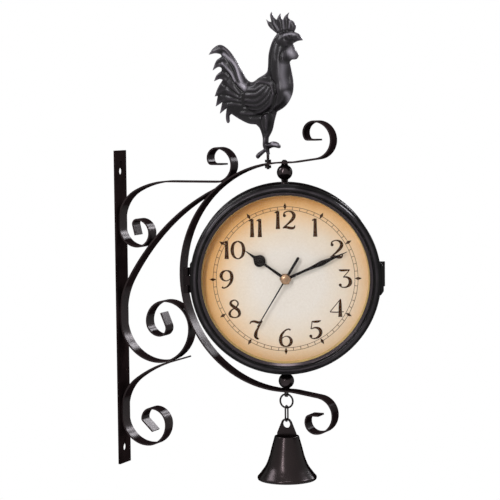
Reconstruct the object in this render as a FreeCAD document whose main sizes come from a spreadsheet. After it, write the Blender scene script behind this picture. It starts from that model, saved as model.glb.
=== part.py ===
import FreeCAD, Part
import Sketcher
import math
import os
import re

Vector = FreeCAD.Vector
Rotation = FreeCAD.Rotation
Placement = FreeCAD.Placement

doc = FreeCAD.newDocument("double_sided_wall_clock")

# Driving sizes: millimetres, degrees and tooth counts
SIZES = {
    # wall plate with two keyholes
    "plate_width": 24,
    "plate_thickness": 2.5,
    "keyhole_spacing": 308,
    "plate_top_margin": 23,
    "plate_bottom_margin": 17.5,
    "keyhole_radius": 4.2,
    "keyhole_slot_width": 4.2,
    "keyhole_slot_rise": 9.6,
    # where the clock hangs, measured from the wall and the keyholes' middle
    "clock_reach": 200,
    "clock_rise": 43,
    "clock_turn": 24,
    # bent strips of the bracket
    "strip_width": 16,
    "strip_thickness": 1.8,
    "plate_flat": 6,
    "hoop_seat": 5,
    "hoop_lift_radius": 60,
    "hoop_arm": 26,
    "hoop_curl": 19.6,
    "hoop_curl_inner": 11.7,
    "hoop_curl_tight": 4,
    "hoop_curl_tail": 10,
    "upper_curl": 18.2,
    "upper_curl_inner": 10.6,
    "upper_curl_tight": 4,
    "upper_curl_tail": 12,
    "upper_arm": 57,
    "upper_arm_rise": 44,
    "support_drop": 52,
    "support_bend": 75,
    "support_coil": 46,
    "support_coil_third": 29,
    "support_coil_fourth": 23,
    "support_coil_fifth": 15.5,
    "support_coil_tight": 8.6,
    "support_tail": 14.7,
    "lower_rise": 43,
    "lower_coil": 31,
    "lower_coil_second": 23.5,
    "lower_coil_third": 17.5,
    "lower_coil_fourth": 12,
    "lower_coil_tight": 3,
    "lower_tail": 16.6,
    "lower_free_end": 22,
    # bolts, ball spacers and nuts that carry the clock in the hoop
    "bolt_radius": 1.5,
    "bolt_head_radius": 3,
    "bolt_head_height": 2,
    "bolt_thread_end": 1.5,
    "ball_radius": 8.3,
    "ball_neck_radius": 3.4,
    "ball_top_neck": 1.2,
    "ball_bottom_neck": 3.6,
    "nut_across": 5.5,
    "nut_height": 2.4,
    "pivot_gap": 0.2,
    "fit_gap": 0.06,
    "overrun": 2,
    # rooster on its stud
    "rooster_length": 110,
    "rooster_height": 150,
    "rooster_thickness": 5,
    "rooster_offset": 19.2,
    "rooster_stand": 7.5,
    "stud_radius": 1.6,
    "stud_end": 1.2,
    "stud_nut_across": 6.4,
    "stud_nut_height": 3,
    # ring, link, bell and clapper
    "eye_width": 6,
    "eye_thickness": 2.4,
    "eye_drop": 0.2,
    "eye_hole_radius": 1.4,
    "ring_radius": 7.3,
    "ring_wire": 1,
    "link_bow": 3.2,
    "link_wire": 0.9,
    "link_length": 10.2,
    "hang_gap": 0.3,
    "bell_tab_base": 22,
    "bell_tab_rise": 12.5,
    "bell_tab_rim": 1.9,
    "bell_tab_hole": 4.25,
    "bell_tab_thickness": 2,
    "bell_height": 47,
    "bell_top_radius": 13.3,
    "bell_mouth_radius": 31.8,
    "bell_wall": 1.5,
    "rivet_radius": 1.8,
    "clapper_eye_drop": 3.4,
    "clapper_eye_radius": 2.6,
    "clapper_eye_hole": 1.3,
    "clapper_loop": 2.6,
    "clapper_wire": 0.8,
    "clapper_rod": 1.1,
    "clapper_length": 36,
    "clapper_ball": 5.5,
    # drum and its two doors
    "dial_opening": 88,
    "glass_ledge": 5.4,
    "dial_ledge": 1,
    "skirt_wall": 1.2,
    "skirt_gap": 1.9,
    "skirt_depth": 4.5,
    "drum_wall": 1.5,
    "bezel_overhang": 1,
    "bezel_rise": 3.6,
    "lip_thickness": 1.2,
    "door_gap": 0.3,
    "glass_thickness": 2,
    "dial_thickness": 1,
    "hinge_stand": 3.8,
    "hinge_forward": 1.5,
    "knuckle_radius": 3.2,
    "knuckle_length": 10,
    "case_knuckle_length": 8,
    "pin_radius": 1,
    "running_gap": 0.05,
    "leaf_root": 2,
    "latch_height": 36,
    "latch_slope": 5,
    "latch_stand": 2.6,
    "latch_front": 5,
    "latch_back": 7,
    "catch_radius": 2.5,
    "catch_height": 0.6,
    # movement case, cover, battery
    "mid_gap": 0.4,
    "knob_height": 3,
    "knob_radius": 4.5,
    "case_wall": 1.2,
    "cover_thickness": 1.4,
    "battery_radius": 7.1,
    "battery_length": 50.5,
    "battery_nub_radius": 2.75,
    "battery_nub": 1,
    "bay_gap": 0.3,
    "divider": 1,
    "contact_room": 2,
    "contact_thickness": 0.5,
    "contact_size": 9,
    "spring_radius": 3,
    # wheel train
    "level_gap": 0.5,
    "level_pitch": 1.9,
    "wheel_thickness": 0.9,
    "leaf_overhang": 0.2,
    "third_distance": 10.8,
    "motion_distance": 10.6,
    "drive_distance": 10.8,
    "rotor_distance": 9.1,
    "third_bearing": 160,
    "motion_bearing": 5,
    "drive_bearing": 75,
    "rotor_bearing": 30,
    "arbor_radius": 0.5,
    "end_gap": 0.2,
    "seconds_arbor_radius": 0.55,
    "pipe_wall": 0.6,
    "pipe_gap": 0.1,
    "stem_wall": 1.7,
    "magnet_radius": 2.6,
    "magnet_thickness": 1.2,
    "magnet_gap": 0.4,
    "stator_half": 5,
    "stator_thickness": 0.8,
    "coil_reach": 12,
    "coil_radius": 2,
    "coil_length": 18,
    "coil_core": 1.6,
    "board_thickness": 0.8,
    "board_width": 9,
    "board_height": 14,
    # stem nut and hands
    "stem_nut_across": 11,
    "stem_nut_height": 1.8,
    "stem_stand": 0.4,
    "hand_gap": 0.6,
    "hand_thickness": 0.5,
    "hub_radius": 4,
    "hour_hand_length": 51.5,
    "hour_hand_width": 2.6,
    "hour_spade_radius": 5.2,
    "hour_spade_place": 33,
    "minute_hand_length": 70.5,
    "minute_hand_width": 2.6,
    "minute_lance_width": 4.6,
    "minute_lance_place": 41,
    "second_hand_length": 58,
    "second_hand_width": 0.9,
    "second_tail_length": 27,
    "second_tail_width": 2.2,
    "cap_radius": 5,
    "cap_height": 1.2,
}

# Angles of the hands at rest, clockwise from twelve
HOUR_ANGLE = 305.7
MINUTE_ANGLE = 66.3
SECOND_ANGLE = 211

# Tooth counts of the wheels and the pinions that turn them
SECONDS_TEETH = 60
SECONDS_LEAVES = 8
THIRD_TEETH = 64
THIRD_LEAVES = 8
MINUTE_TEETH = 60
MINUTE_LEAVES = 12
MOTION_TEETH = 36
MOTION_LEAVES = 10
HOUR_TEETH = 40
DRIVE_TEETH = 60
DRIVE_LEAVES = 12
ROTOR_LEAVES = 10

# Tooth form, as shares of the module and of the tooth pitch
ADDENDUM_SHARE = 0.7
DEDENDUM_SHARE = 1.0
TOOTH_ROOT_SHARE = 0.24
TOOTH_TIP_SHARE = 0.10

# Upper scroll's loop beside the plate, as shares of the room between plate and hoop
UPPER_LOOP_SHARE = 0.293
UPPER_LOOP_INNER_SHARE = 0.2
UPPER_LOOP_TIGHT_SHARE = 0.0666
UPPER_LOOP_TAIL_SHARE = 0.153

# Bends of the strips in degrees
LIFT_TURN = 8
CURL_TURNS = (170, 120, 62)
UPPER_CURL_BEARING = 123
UPPER_CURL_TURNS = (175, 120, 65)
UPPER_LOOP_TURNS = (90, 180, 104)
SUPPORT_BEARING = 130
SUPPORT_MEET = 15
SUPPORT_BEND_TURN = 30
SUPPORT_LAST_TURN = 113
LOWER_HEADING = 17
LOWER_LAST_TURN = 46.5
QUARTER = 90

# Places worked out from the sizes
PLACES = {
    "skirt_radius": "dial_opening + glass_ledge + dial_ledge + skirt_wall",
    "drum_inner": "skirt_radius + skirt_gap",
    "drum_radius": "drum_inner + drum_wall",
    "bezel_radius": "drum_radius + bezel_overhang",
    "neck_foot": "drum_radius + pivot_gap",
    "ball_centre": "neck_foot + ball_bottom_neck + ball_radius",
    "hoop_inner": "ball_centre + ball_radius + ball_top_neck",
    "hoop_radius": "hoop_inner + strip_thickness / 2",
    "hoop_outer": "hoop_inner + strip_thickness",
    "scroll_room": "clock_reach - hoop_outer - plate_thickness",
    "upper_loop": f"{UPPER_LOOP_SHARE} * scroll_room",
    "upper_loop_inner": f"{UPPER_LOOP_INNER_SHARE} * scroll_room",
    "upper_loop_tight": f"{UPPER_LOOP_TIGHT_SHARE} * scroll_room",
    "upper_loop_tail": f"{UPPER_LOOP_TAIL_SHARE} * scroll_room",
    "neck_top": "sqrt(hoop_inner * hoop_inner - ball_neck_radius * ball_neck_radius)",
    "nut_top": "drum_inner - pivot_gap",
    "bolt_end": "nut_top - nut_height - bolt_thread_end",
    "eye_centre": "hoop_outer + eye_drop + eye_width / 2",
    "ring_centre": "eye_centre + ring_radius",
    "ring_low": "ring_centre + ring_radius",
    "bow_inner": "link_bow - link_wire",
    "link_top": "ring_low + bow_inner - ring_wire - hang_gap",
    "link_low": "link_top + link_length",
    "link_wire_low": "link_low + link_bow",
    "tab_hole": "link_wire_low - link_wire - hang_gap + bell_tab_hole",
    "bell_top": "tab_hole + bell_tab_rise",
    "clapper_hinge": "bell_top + bell_wall + clapper_eye_drop",
    "bell_bottom": "bell_top + bell_height",
    "seconds_bore": "seconds_arbor_radius + pipe_gap",
    "minute_pipe": "seconds_bore + pipe_wall",
    "hour_bore": "minute_pipe + pipe_gap",
    "hour_pipe": "hour_bore + pipe_wall",
    "stem_bore": "hour_pipe + pipe_gap",
    "stem_radius": "stem_bore + stem_wall",
    "battery_room": "2 * battery_radius + 2 * bay_gap",
    "train_room": "level_gap + 7 * level_pitch",
    "cover_back": "mid_gap + knob_height",
    "cover_front": "cover_back + cover_thickness",
    "case_inner": "cover_front + max(train_room; battery_room)",
    "case_front": "case_inner + case_wall",
    "dial_front": "case_front + dial_thickness",
    "parting": "case_front + skirt_depth",
    "stem_end": "dial_front + stem_nut_height + stem_stand",
    "hour_hand_back": "stem_end + hand_gap",
    "hour_hand_front": "hour_hand_back + hand_thickness",
    "minute_hand_back": "hour_hand_front + hand_gap",
    "minute_hand_front": "minute_hand_back + hand_thickness",
    "second_hand_back": "minute_hand_front + hand_gap",
    "second_hand_front": "second_hand_back + hand_thickness",
    "cap_front": "second_hand_front + cap_height",
    "glass_back": "cap_front + hand_gap",
    "glass_front": "glass_back + glass_thickness",
    "lip_front": "glass_front + lip_thickness",
    "bezel_front": "lip_front + bezel_rise",
    "bezel_back": "parting + door_gap",
    "glass_bore": "dial_opening + glass_ledge",
    "dial_bore": "glass_bore + dial_ledge",
    "hinge_x": "bezel_radius + hinge_stand",
    "hinge_z": "parting + hinge_forward",
    "minute_module": f"2 * third_distance / {THIRD_LEAVES + MINUTE_TEETH}",
    "minute_tip": f"minute_module * ({MINUTE_TEETH} / 2 + {ADDENDUM_SHARE})",
    "divider_top": "-(minute_tip + 2 * bay_gap)",
    "divider_low": "divider_top - divider",
    "battery_y": "divider_low - bay_gap - battery_radius",
    "battery_z": "(cover_front + case_inner) / 2",
    "case_low": "battery_y - battery_radius - bay_gap - case_wall",
    "case_half": "battery_length / 2 + contact_room + case_wall",
    "third_x": "third_distance * cos(third_bearing)",
    "third_y": "third_distance * sin(third_bearing)",
    "motion_x": "motion_distance * cos(motion_bearing)",
    "motion_y": "motion_distance * sin(motion_bearing)",
    "drive_x": "drive_distance * cos(drive_bearing)",
    "drive_y": "drive_distance * sin(drive_bearing)",
    "rotor_x": "drive_x + rotor_distance * cos(rotor_bearing)",
    "rotor_y": "drive_y + rotor_distance * sin(rotor_bearing)",
    "coil_x": "rotor_x + coil_reach",
    "case_top": "rotor_y + coil_length / 2 + 2 * bay_gap + case_wall",
    "magnet_front": "case_inner - level_gap - 6 * level_pitch",
    "stator_back": "magnet_front - (magnet_thickness + stator_thickness) / 2",
    "coil_z": "stator_back + stator_thickness / 2",
}

sizes = doc.addObject("Spreadsheet::Sheet", "sizes")
for row, (alias, number) in enumerate(SIZES.items(), start=1):
    sizes.set(f"A{row}", alias)
    sizes.set(f"B{row}", str(number))
    sizes.setAlias(f"B{row}", alias)
doc.recompute()


def bound(text):
    """The text of a formula with each named size led back to its sheet."""

    def led(match):
        word = match.group(0)
        if word in SIZES:
            return "sizes." + word
        if word in PLACES:
            return "places." + word
        return word

    return re.sub(r"[a-z][a-z_0-9]*", led, text)


places = doc.addObject("Spreadsheet::Sheet", "places")
for row, (alias, formula) in enumerate(PLACES.items(), start=1):
    places.set(f"A{row}", alias)
    places.set(f"B{row}", "=" + bound(formula).replace("places.", ""))
    places.setAlias(f"B{row}", alias)
doc.recompute()


class Values:
    """Every named size and place as a plain number."""


v = Values()
for alias in SIZES:
    setattr(v, alias, float(sizes.get(alias)))
for alias in PLACES:
    setattr(v, alias, float(places.get(alias)))

NODES = {}

# Directions that a primitive's own axis can be turned to
TURN_TO = {
    "x": Rotation(Vector(0, 1, 0), 90),
    "y": Rotation(Vector(1, 0, 0), -90),
    "z": Rotation(),
}


def keep(item, label, placement=None):
    """Names a finished sub-part and puts it in its place."""
    item.Label = label
    if placement is not None:
        item.Placement = placement
    NODES[label] = item
    return item


def bind(item, **formulas):
    for name, formula in formulas.items():
        item.setExpression(name, bound(formula))


def put(item, at):
    for axis, formula in zip("xyz", at):
        item.setExpression(f"Placement.Base.{axis}", bound(formula))


def box(name, length, width, height, at):
    item = doc.addObject("Part::Box", name)
    bind(item, Length=length, Width=width, Height=height)
    put(item, at)
    return item


def cylinder(name, radius, height, at, axis="z"):
    item = doc.addObject("Part::Cylinder", name)
    item.Placement = Placement(Vector(), TURN_TO[axis])
    bind(item, Radius=radius, Height=height)
    put(item, at)
    return item


def cone(name, radius, end_radius, height, at, axis="z"):
    item = doc.addObject("Part::Cone", name)
    item.Placement = Placement(Vector(), TURN_TO[axis])
    bind(item, Radius1=radius, Radius2=end_radius, Height=height)
    put(item, at)
    return item


def sphere(name, radius, at):
    item = doc.addObject("Part::Sphere", name)
    bind(item, Radius=radius)
    put(item, at)
    return item


def torus(name, radius, wire, at, axis="z"):
    item = doc.addObject("Part::Torus", name)
    item.Placement = Placement(Vector(), TURN_TO[axis].inverted())
    bind(item, Radius1=radius, Radius2=wire)
    put(item, at)
    return item


def hexagon(name, across, height, at):
    item = doc.addObject("Part::Prism", name)
    item.Polygon = 6
    bind(item, Circumradius=f"{across} / sqrt(3)", Height=height)
    put(item, at)
    return item


def fuse(name, *items):
    item = doc.addObject("Part::MultiFuse", name)
    item.Shapes = list(items)
    return item


def cut(name, base, *tools):
    item = doc.addObject("Part::Cut", name)
    item.Base = base
    item.Tool = tools[0] if len(tools) == 1 else fuse(name + "_tools", *tools)
    return item


def group(name, *items):
    item = doc.addObject("Part::Compound", name)
    item.Links = list(items)
    return item


def turned(name, profile):
    """A body turned about its own Z axis from a profile of (radius, height) formulas."""
    body = doc.addObject("PartDesign::Body", name)
    plane = next(p for p in body.Origin.OriginFeatures if p.Role == "XZ_Plane")
    sketch = body.newObject("Sketcher::SketchObject", name + "_profile")
    sketch.AttachmentSupport = [(plane, "")]
    sketch.MapMode = "FlatFace"
    count = len(profile)
    spread = [2 * math.pi * number / count for number in range(count)]
    corners = [Vector(math.cos(angle), math.sin(angle), 0) for angle in spread]
    for number in range(count):
        sketch.addGeometry(Part.LineSegment(corners[number], corners[(number + 1) % count]))
    for number in range(count):
        sketch.addConstraint(Sketcher.Constraint("Coincident", number, 2, (number + 1) % count, 1))
    for number, (radius, height) in enumerate(profile):
        for kind, formula in (("DistanceX", radius), ("DistanceY", height)):
            index = sketch.addConstraint(Sketcher.Constraint(kind, -1, 1, number, 1, 1))
            sketch.setExpression(f"Constraints[{index}]", bound(formula))
    doc.recompute()
    turn = body.newObject("PartDesign::Revolution", name + "_turn")
    turn.Profile = sketch
    turn.ReferenceAxis = (sketch, ["V_Axis"])
    turn.Angle = 360
    doc.recompute()
    return body


def shaped(name, shape):
    item = doc.addObject("Part::Feature", name)
    item.Shape = shape
    return item


clock_centre = Vector(v.clock_reach, 0, v.clock_rise)


# Bracket: strips bent on edge, laid out as paths of lines and arcs in the wall's X and Z
def ahead(heading):
    return Vector(math.cos(math.radians(heading)), 0, math.sin(math.radians(heading)))


def left_of(heading):
    return ahead(heading + QUARTER)


def follow(point, heading, steps):
    """Each step of a path: a (length, 0) line or a (radius, turn) arc, with its ends."""
    path = []
    for size, turn in steps:
        side = math.copysign(1, turn)
        centre = point + left_of(heading) * (side * size)
        if turn == 0:
            end = point + ahead(heading) * size
        else:
            end = centre - left_of(heading + turn) * (side * size)
        path.append((point, heading, end, turn, centre))
        point, heading = end, heading + turn
    return path


def side_edges(path, offset):
    """The edges of a path moved sideways, to its left for a positive offset."""
    edges = []
    for start, heading, end, turn, centre in path:
        first = start + left_of(heading) * offset
        last = end + left_of(heading + turn) * offset
        if turn == 0:
            edges.append(Part.makeLine(first, last))
            continue
        half = Rotation(Vector(0, -1, 0), turn / 2)
        middle = centre + half.multVec(first - centre)
        edges.append(Part.Arc(first, middle, last).toShape())
    return edges


def strip(point, heading, forward, backward):
    """A flat strip on edge that runs both ways from one point of its path."""
    half = v.strip_thickness / 2
    edges = []
    for steps, start in ((forward, heading), (backward, heading + 2 * QUARTER)):
        path = follow(point, start, steps)
        left = side_edges(path, half)
        right = side_edges(path, -half)
        ends = [side[-1].valueAt(side[-1].LastParameter) for side in (left, right)]
        edges += left + [Part.makeLine(*ends)] + right
    face = Part.Face(Part.Wire(Part.__sortEdges__(edges)))
    face.translate(Vector(0, -v.strip_width / 2, 0))
    return face.extrude(Vector(0, v.strip_width, 0))


def two_arcs(point, heading, end, end_heading):
    """Two arcs that lead smoothly from one point and heading to another."""
    first, last = ahead(heading), ahead(end_heading)
    across = end - point
    a = 2 * (1 - first.dot(last))
    b = 2 * across.dot(first + last)
    reach = (math.sqrt(b * b + 4 * a * across.dot(across)) - b) / (2 * a)
    joint = (end - last * reach) - (point + first * reach)
    middle = math.degrees(math.atan2(joint.z, joint.x))
    steps = []
    for start, stop in ((heading, middle), (middle, end_heading)):
        turn = (stop - start + 180) % 360 - 180
        steps.append((reach / math.tan(math.radians(abs(turn)) / 2), turn))
    return steps


def on_hoop(bearing, radius):
    return clock_centre + ahead(bearing) * radius


def hole_through_strip(shape, x, z, radius):
    tool = Part.makeCylinder(radius, 2 * v.overrun + v.strip_thickness, Vector(x, 0, z - v.overrun))
    return shape.cut(tool)


def build_hoop():
    curls = zip((v.hoop_curl, v.hoop_curl_inner, v.hoop_curl_tight), CURL_TURNS)
    half = [(v.hoop_radius, -QUARTER), (v.hoop_seat, 0), (v.hoop_lift_radius, LIFT_TURN), (v.hoop_arm, 0)]
    half += list(curls) + [(v.hoop_curl_tail, 0)]
    mirrored = [(size, -turn) for size, turn in half]
    shape = strip(on_hoop(2 * QUARTER, v.hoop_radius), QUARTER, half, mirrored)
    hole = v.bolt_radius + v.fit_gap
    for way in (1, -1):
        middle = v.clock_rise + way * v.hoop_radius
        shape = hole_through_strip(shape, v.clock_reach, middle - v.strip_thickness / 2, hole)
    stud_x = v.clock_reach - v.rooster_offset
    height = math.sqrt(v.hoop_radius ** 2 - v.rooster_offset ** 2)
    return hole_through_strip(
        shape, stud_x, v.clock_rise + height - v.strip_thickness / 2, v.stud_radius + v.fit_gap
    )


strip_x = v.plate_thickness + v.strip_thickness / 2
touch_radius = v.hoop_outer + v.strip_thickness / 2


def build_upper_scroll():
    curl_centre = on_hoop(UPPER_CURL_BEARING, touch_radius + v.upper_curl)
    curl_foot = curl_centre - Vector(0, 0, v.upper_curl)
    arm_start = curl_foot - Vector(v.upper_arm, 0, 0)
    top = Vector(strip_x, 0, curl_foot.z - v.upper_arm_rise)
    up = two_arcs(top, QUARTER, arm_start, 0) + [(v.upper_arm, 0)]
    up += list(zip((v.upper_curl, v.upper_curl_inner, v.upper_curl_tight), UPPER_CURL_TURNS))
    up += [(v.upper_curl_tail, 0)]
    down = [(v.plate_flat, 0)]
    down += list(zip((v.upper_loop, v.upper_loop_inner, v.upper_loop_tight), UPPER_LOOP_TURNS))
    down += [(v.upper_loop_tail, 0)]
    return strip(top, QUARTER, up, down)


# The support scroll's second turn is as wide as it must be to touch the hoop
support_low = Vector(strip_x, 0, v.clock_rise - v.support_drop)
coil_foot = support_low + Vector(v.support_coil, 0, -v.support_coil) - clock_centre
support_touch = (coil_foot.dot(coil_foot) - touch_radius ** 2) / (2 * (touch_radius - coil_foot.z))
coil_middle = clock_centre + coil_foot + Vector(0, 0, support_touch)


def build_support_scroll():
    end = on_hoop(SUPPORT_BEARING, v.hoop_radius)
    top = support_low + Vector(0, 0, v.plate_flat)
    up = [(v.support_bend, -SUPPORT_BEND_TURN)]
    bend_end = follow(top, QUARTER, up)[-1][2]
    up += two_arcs(bend_end, QUARTER - SUPPORT_BEND_TURN, end, SUPPORT_BEARING - QUARTER - SUPPORT_MEET)
    coils = [v.support_coil, support_touch, v.support_coil_third]
    coils += [v.support_coil_fourth, v.support_coil_fifth]
    down = [(v.plate_flat, 0)] + [(radius, QUARTER) for radius in coils]
    down += [(v.support_coil_tight, SUPPORT_LAST_TURN), (v.support_tail, 0)]
    shape = strip(top, QUARTER, up, down)
    inside = Part.makeCylinder(
        v.hoop_outer, 2 * v.strip_width, clock_centre - Vector(0, v.strip_width, 0), Vector(0, 1, 0)
    )
    return shape.cut(inside)


def build_lower_scroll():
    below = left_of(LOWER_HEADING) * -(support_touch + v.strip_thickness)
    touch = coil_middle + below
    top = Vector(strip_x, 0, v.lower_rise - v.keyhole_spacing / 2)
    up = two_arcs(top, QUARTER, touch, LOWER_HEADING) + [(v.lower_free_end, 0)]
    coils = (v.lower_coil, v.lower_coil_second, v.lower_coil_third, v.lower_coil_fourth)
    down = [(v.plate_flat, 0)] + [(radius, QUARTER) for radius in coils]
    down += [(v.lower_coil_tight, LOWER_LAST_TURN), (v.lower_tail, 0)]
    return strip(top, QUARTER, up, down)


def build_plate():
    blank = box(
        "plate_blank",
        "plate_thickness",
        "plate_width",
        "keyhole_spacing + plate_top_margin + plate_bottom_margin",
        ("0", "-plate_width / 2", "-keyhole_spacing / 2 - plate_bottom_margin"),
    )
    tools = []
    through = "plate_thickness + 2 * overrun"
    for name, level in (("top", "keyhole_spacing / 2"), ("bottom", "-keyhole_spacing / 2")):
        tools.append(cylinder(f"{name}_hole", "keyhole_radius", through, ("-overrun", "0", level), "x"))
        tools.append(
            box(
                f"{name}_slot",
                through,
                "keyhole_slot_width",
                "keyhole_slot_rise",
                ("-overrun", "-keyhole_slot_width / 2", level),
            )
        )
        end = ("-overrun", "0", f"{level} + keyhole_slot_rise")
        tools.append(cylinder(f"{name}_slot_end", "keyhole_slot_width / 2", through, end, "x"))
    return cut("plate", blank, *tools)


keep(build_plate(), "wall_plate")
keep(shaped("hoop_strip", build_hoop()), "hoop")
keep(shaped("upper_strip", build_upper_scroll()), "upper_scroll")
keep(shaped("support_strip", build_support_scroll()), "support_scroll")
keep(shaped("lower_strip", build_lower_scroll()), "lower_scroll")

# Bolts, ball spacers and nuts, drawn about the clock's centre
upright = Placement(clock_centre, Rotation())
upside_down = Placement(clock_centre, Rotation(Vector(1, 0, 0), 180))
HEAD_DOME_SHARE = 0.55
HEAD_EDGE_SHARE = 0.4

top_bolt = turned(
    "top_bolt_turning",
    [
        ("0", "bolt_end"),
        ("bolt_radius", "bolt_end"),
        ("bolt_radius", "hoop_outer"),
        ("bolt_head_radius", "hoop_outer"),
        ("bolt_head_radius", f"hoop_outer + {HEAD_EDGE_SHARE} * bolt_head_height"),
        (f"{HEAD_DOME_SHARE} * bolt_head_radius", "hoop_outer + bolt_head_height"),
        ("0", "hoop_outer + bolt_head_height"),
    ],
)
keep(top_bolt, "top_bolt", upright)


def build_eye_bolt():
    shank = cylinder("eye_shank", "bolt_radius", "hoop_outer - bolt_end", ("0", "0", "-hoop_outer"))
    neck = box(
        "eye_neck",
        "eye_thickness",
        "eye_width",
        "eye_centre - hoop_outer",
        ("-eye_thickness / 2", "-eye_width / 2", "-eye_centre"),
    )
    disc_at = ("-eye_thickness / 2", "0", "-eye_centre")
    disc = cylinder("eye_disc", "eye_width / 2", "eye_thickness", disc_at, "x")
    hole_at = ("-eye_thickness / 2 - overrun", "0", "-eye_centre")
    hole = cylinder("eye_hole", "eye_hole_radius", "eye_thickness + 2 * overrun", hole_at, "x")
    return cut("eye_bolt", fuse("eye_blank", shank, neck, disc), hole)


keep(build_eye_bolt(), "bottom_eye_bolt", upright)


def ball_spacer(name, placement):
    ball = sphere(name + "_ball", "ball_radius", ("0", "0", "ball_centre"))
    neck = cylinder(name + "_neck", "ball_neck_radius", "neck_top - neck_foot", ("0", "0", "neck_foot"))
    hole_at = ("0", "0", "neck_foot - overrun")
    hole = cylinder(name + "_hole", "bolt_radius + fit_gap", "neck_top - neck_foot + 2 * overrun", hole_at)
    spacer = cut(name, fuse(name + "_blank", ball, neck), hole)
    spacer.Placement = placement
    return spacer


def nut(name, across, height, hole, at, placement):
    blank = hexagon(name + "_blank", across, height, at)
    hole_at = (at[0], at[1], f"{at[2]} - overrun")
    bore = cylinder(name + "_bore", hole, f"{height} + 2 * overrun", hole_at)
    item = cut(name, blank, bore)
    item.Placement = placement
    return item


spacers = [ball_spacer("top_spacer", upright), ball_spacer("bottom_spacer", upside_down)]
keep(group("spacer_pair", *spacers), "ball_spacers")
pivot_nut_at = ("0", "0", "nut_top - nut_height")
pivot_nuts = [
    nut("top_nut", "nut_across", "nut_height", "bolt_radius", pivot_nut_at, upright),
    nut("bottom_nut", "nut_across", "nut_height", "bolt_radius", pivot_nut_at, upside_down),
]
keep(group("nut_pair", *pivot_nuts), "pivot_nuts")

# Rooster: outline spans as shares of its length and height, from the stud's foot
ROOSTER_SHARES = [
    # back of the neck, saddle, front of the tail to its top tip
    [
        (0.108, 0.846), (0.058, 0.793), (0.020, 0.710), (0.008, 0.604), (-0.014, 0.571),
        (-0.086, 0.541), (-0.154, 0.512), (-0.211, 0.527), (-0.265, 0.589), (-0.339, 0.678),
        (-0.416, 0.746), (-0.497, 0.779), (-0.571, 0.757), (-0.623, 0.711),
    ],
    # tail feathers, each an under edge and an upper edge
    [(-0.623, 0.711), (-0.554, 0.719), (-0.496, 0.711), (-0.484, 0.695)],
    [(-0.484, 0.695), (-0.543, 0.665), (-0.582, 0.599)],
    [(-0.582, 0.599), (-0.527, 0.621), (-0.488, 0.615), (-0.486, 0.594)],
    [(-0.486, 0.594), (-0.539, 0.565), (-0.569, 0.522)],
    [(-0.569, 0.522), (-0.510, 0.536), (-0.475, 0.530)],
    [(-0.475, 0.530), (-0.529, 0.473), (-0.563, 0.413)],
    [(-0.563, 0.413), (-0.530, 0.417)],
    [(-0.530, 0.417), (-0.553, 0.342)],
    [(-0.553, 0.342), (-0.482, 0.372)],
    [(-0.482, 0.372), (-0.509, 0.291)],
    [(-0.509, 0.291), (-0.435, 0.329)],
    # hanging plume
    [
        (-0.435, 0.329), (-0.445, 0.272), (-0.438, 0.233), (-0.420, 0.222), (-0.405, 0.237),
        (-0.406, 0.272), (-0.386, 0.288),
    ],
    # belly and back of the leg
    [(-0.386, 0.288), (-0.293, 0.248), (-0.201, 0.218), (-0.120, 0.211)],
    [(-0.120, 0.211), (-0.082, 0.182), (-0.054, 0.121), (-0.053, 0.063), (-0.042, 0.039)],
    # back toe, foot, front toe
    [
        (-0.042, 0.039), (-0.106, 0.010), (-0.128, -0.013), (-0.106, -0.031), (-0.077, -0.013),
        (-0.024, 0.019),
    ],
    [(-0.024, 0.019), (-0.006, 0.002), (0.021, 0.001)],
    [(0.021, 0.001), (0.015, 0.025), (0.016, 0.040)],
    [
        (0.016, 0.040), (0.062, 0.050), (0.124, 0.044), (0.133, 0.063), (0.102, 0.085),
        (0.051, 0.092), (0.010, 0.082),
    ],
    # front of the leg, breast, wattle
    [(0.010, 0.082), (0.007, 0.113), (0.049, 0.170), (0.076, 0.246), (0.099, 0.299)],
    [(0.099, 0.299), (0.191, 0.341), (0.254, 0.408), (0.274, 0.480), (0.261, 0.563), (0.237, 0.646)],
    [(0.237, 0.646), (0.257, 0.661), (0.308, 0.666), (0.330, 0.694), (0.297, 0.732), (0.272, 0.774)],
    # beak
    [(0.272, 0.774), (0.320, 0.790), (0.376, 0.795)],
    [(0.376, 0.795), (0.338, 0.837), (0.287, 0.856)],
    # comb from the front to the back
    [(0.287, 0.856), (0.305, 0.893), (0.277, 0.928), (0.241, 0.941)],
    [(0.241, 0.941), (0.223, 0.963), (0.235, 0.991)],
    [(0.235, 0.991), (0.193, 0.967), (0.170, 0.938)],
    [(0.170, 0.938), (0.151, 0.953), (0.144, 0.986)],
    [(0.144, 0.986), (0.121, 0.965), (0.105, 0.941)],
    [(0.105, 0.941), (0.074, 0.962), (0.051, 0.999)],
    [(0.051, 0.999), (0.037, 0.975), (0.050, 0.929)],
    [(0.050, 0.929), (0.022, 0.933), (-0.004, 0.947)],
    [(-0.004, 0.947), (0.027, 0.895), (0.108, 0.846)],
]

# Swells of the rooster's body and neck: middle and half axes, as shares of its length and height
BODY_SHARES = (-0.02, 0.415, 0.25, 0.135, 0.095)
NECK_SHARES = (0.14, 0.60, 0.10, 0.21, 0.075)
HEAD_SHARES = (0.19, 0.795, 0.085, 0.055, 0.060)
THIGH_SHARES = (0.0, 0.235, 0.060, 0.085, 0.060)
UNIT_RADIUS = 1


def swell(shares):
    """An ellipsoid on the rooster, from shares of its length and height."""
    along, up, half_length, half_height, half_width = shares
    ball = Part.makeSphere(UNIT_RADIUS)
    scale = FreeCAD.Matrix()
    length, height = v.rooster_length, v.rooster_height
    scale.scale(half_length * length, half_width * length, half_height * height)
    ball = ball.transformGeometry(scale)
    ball.translate(Vector(along * length, 0, up * height))
    return ball


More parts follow.
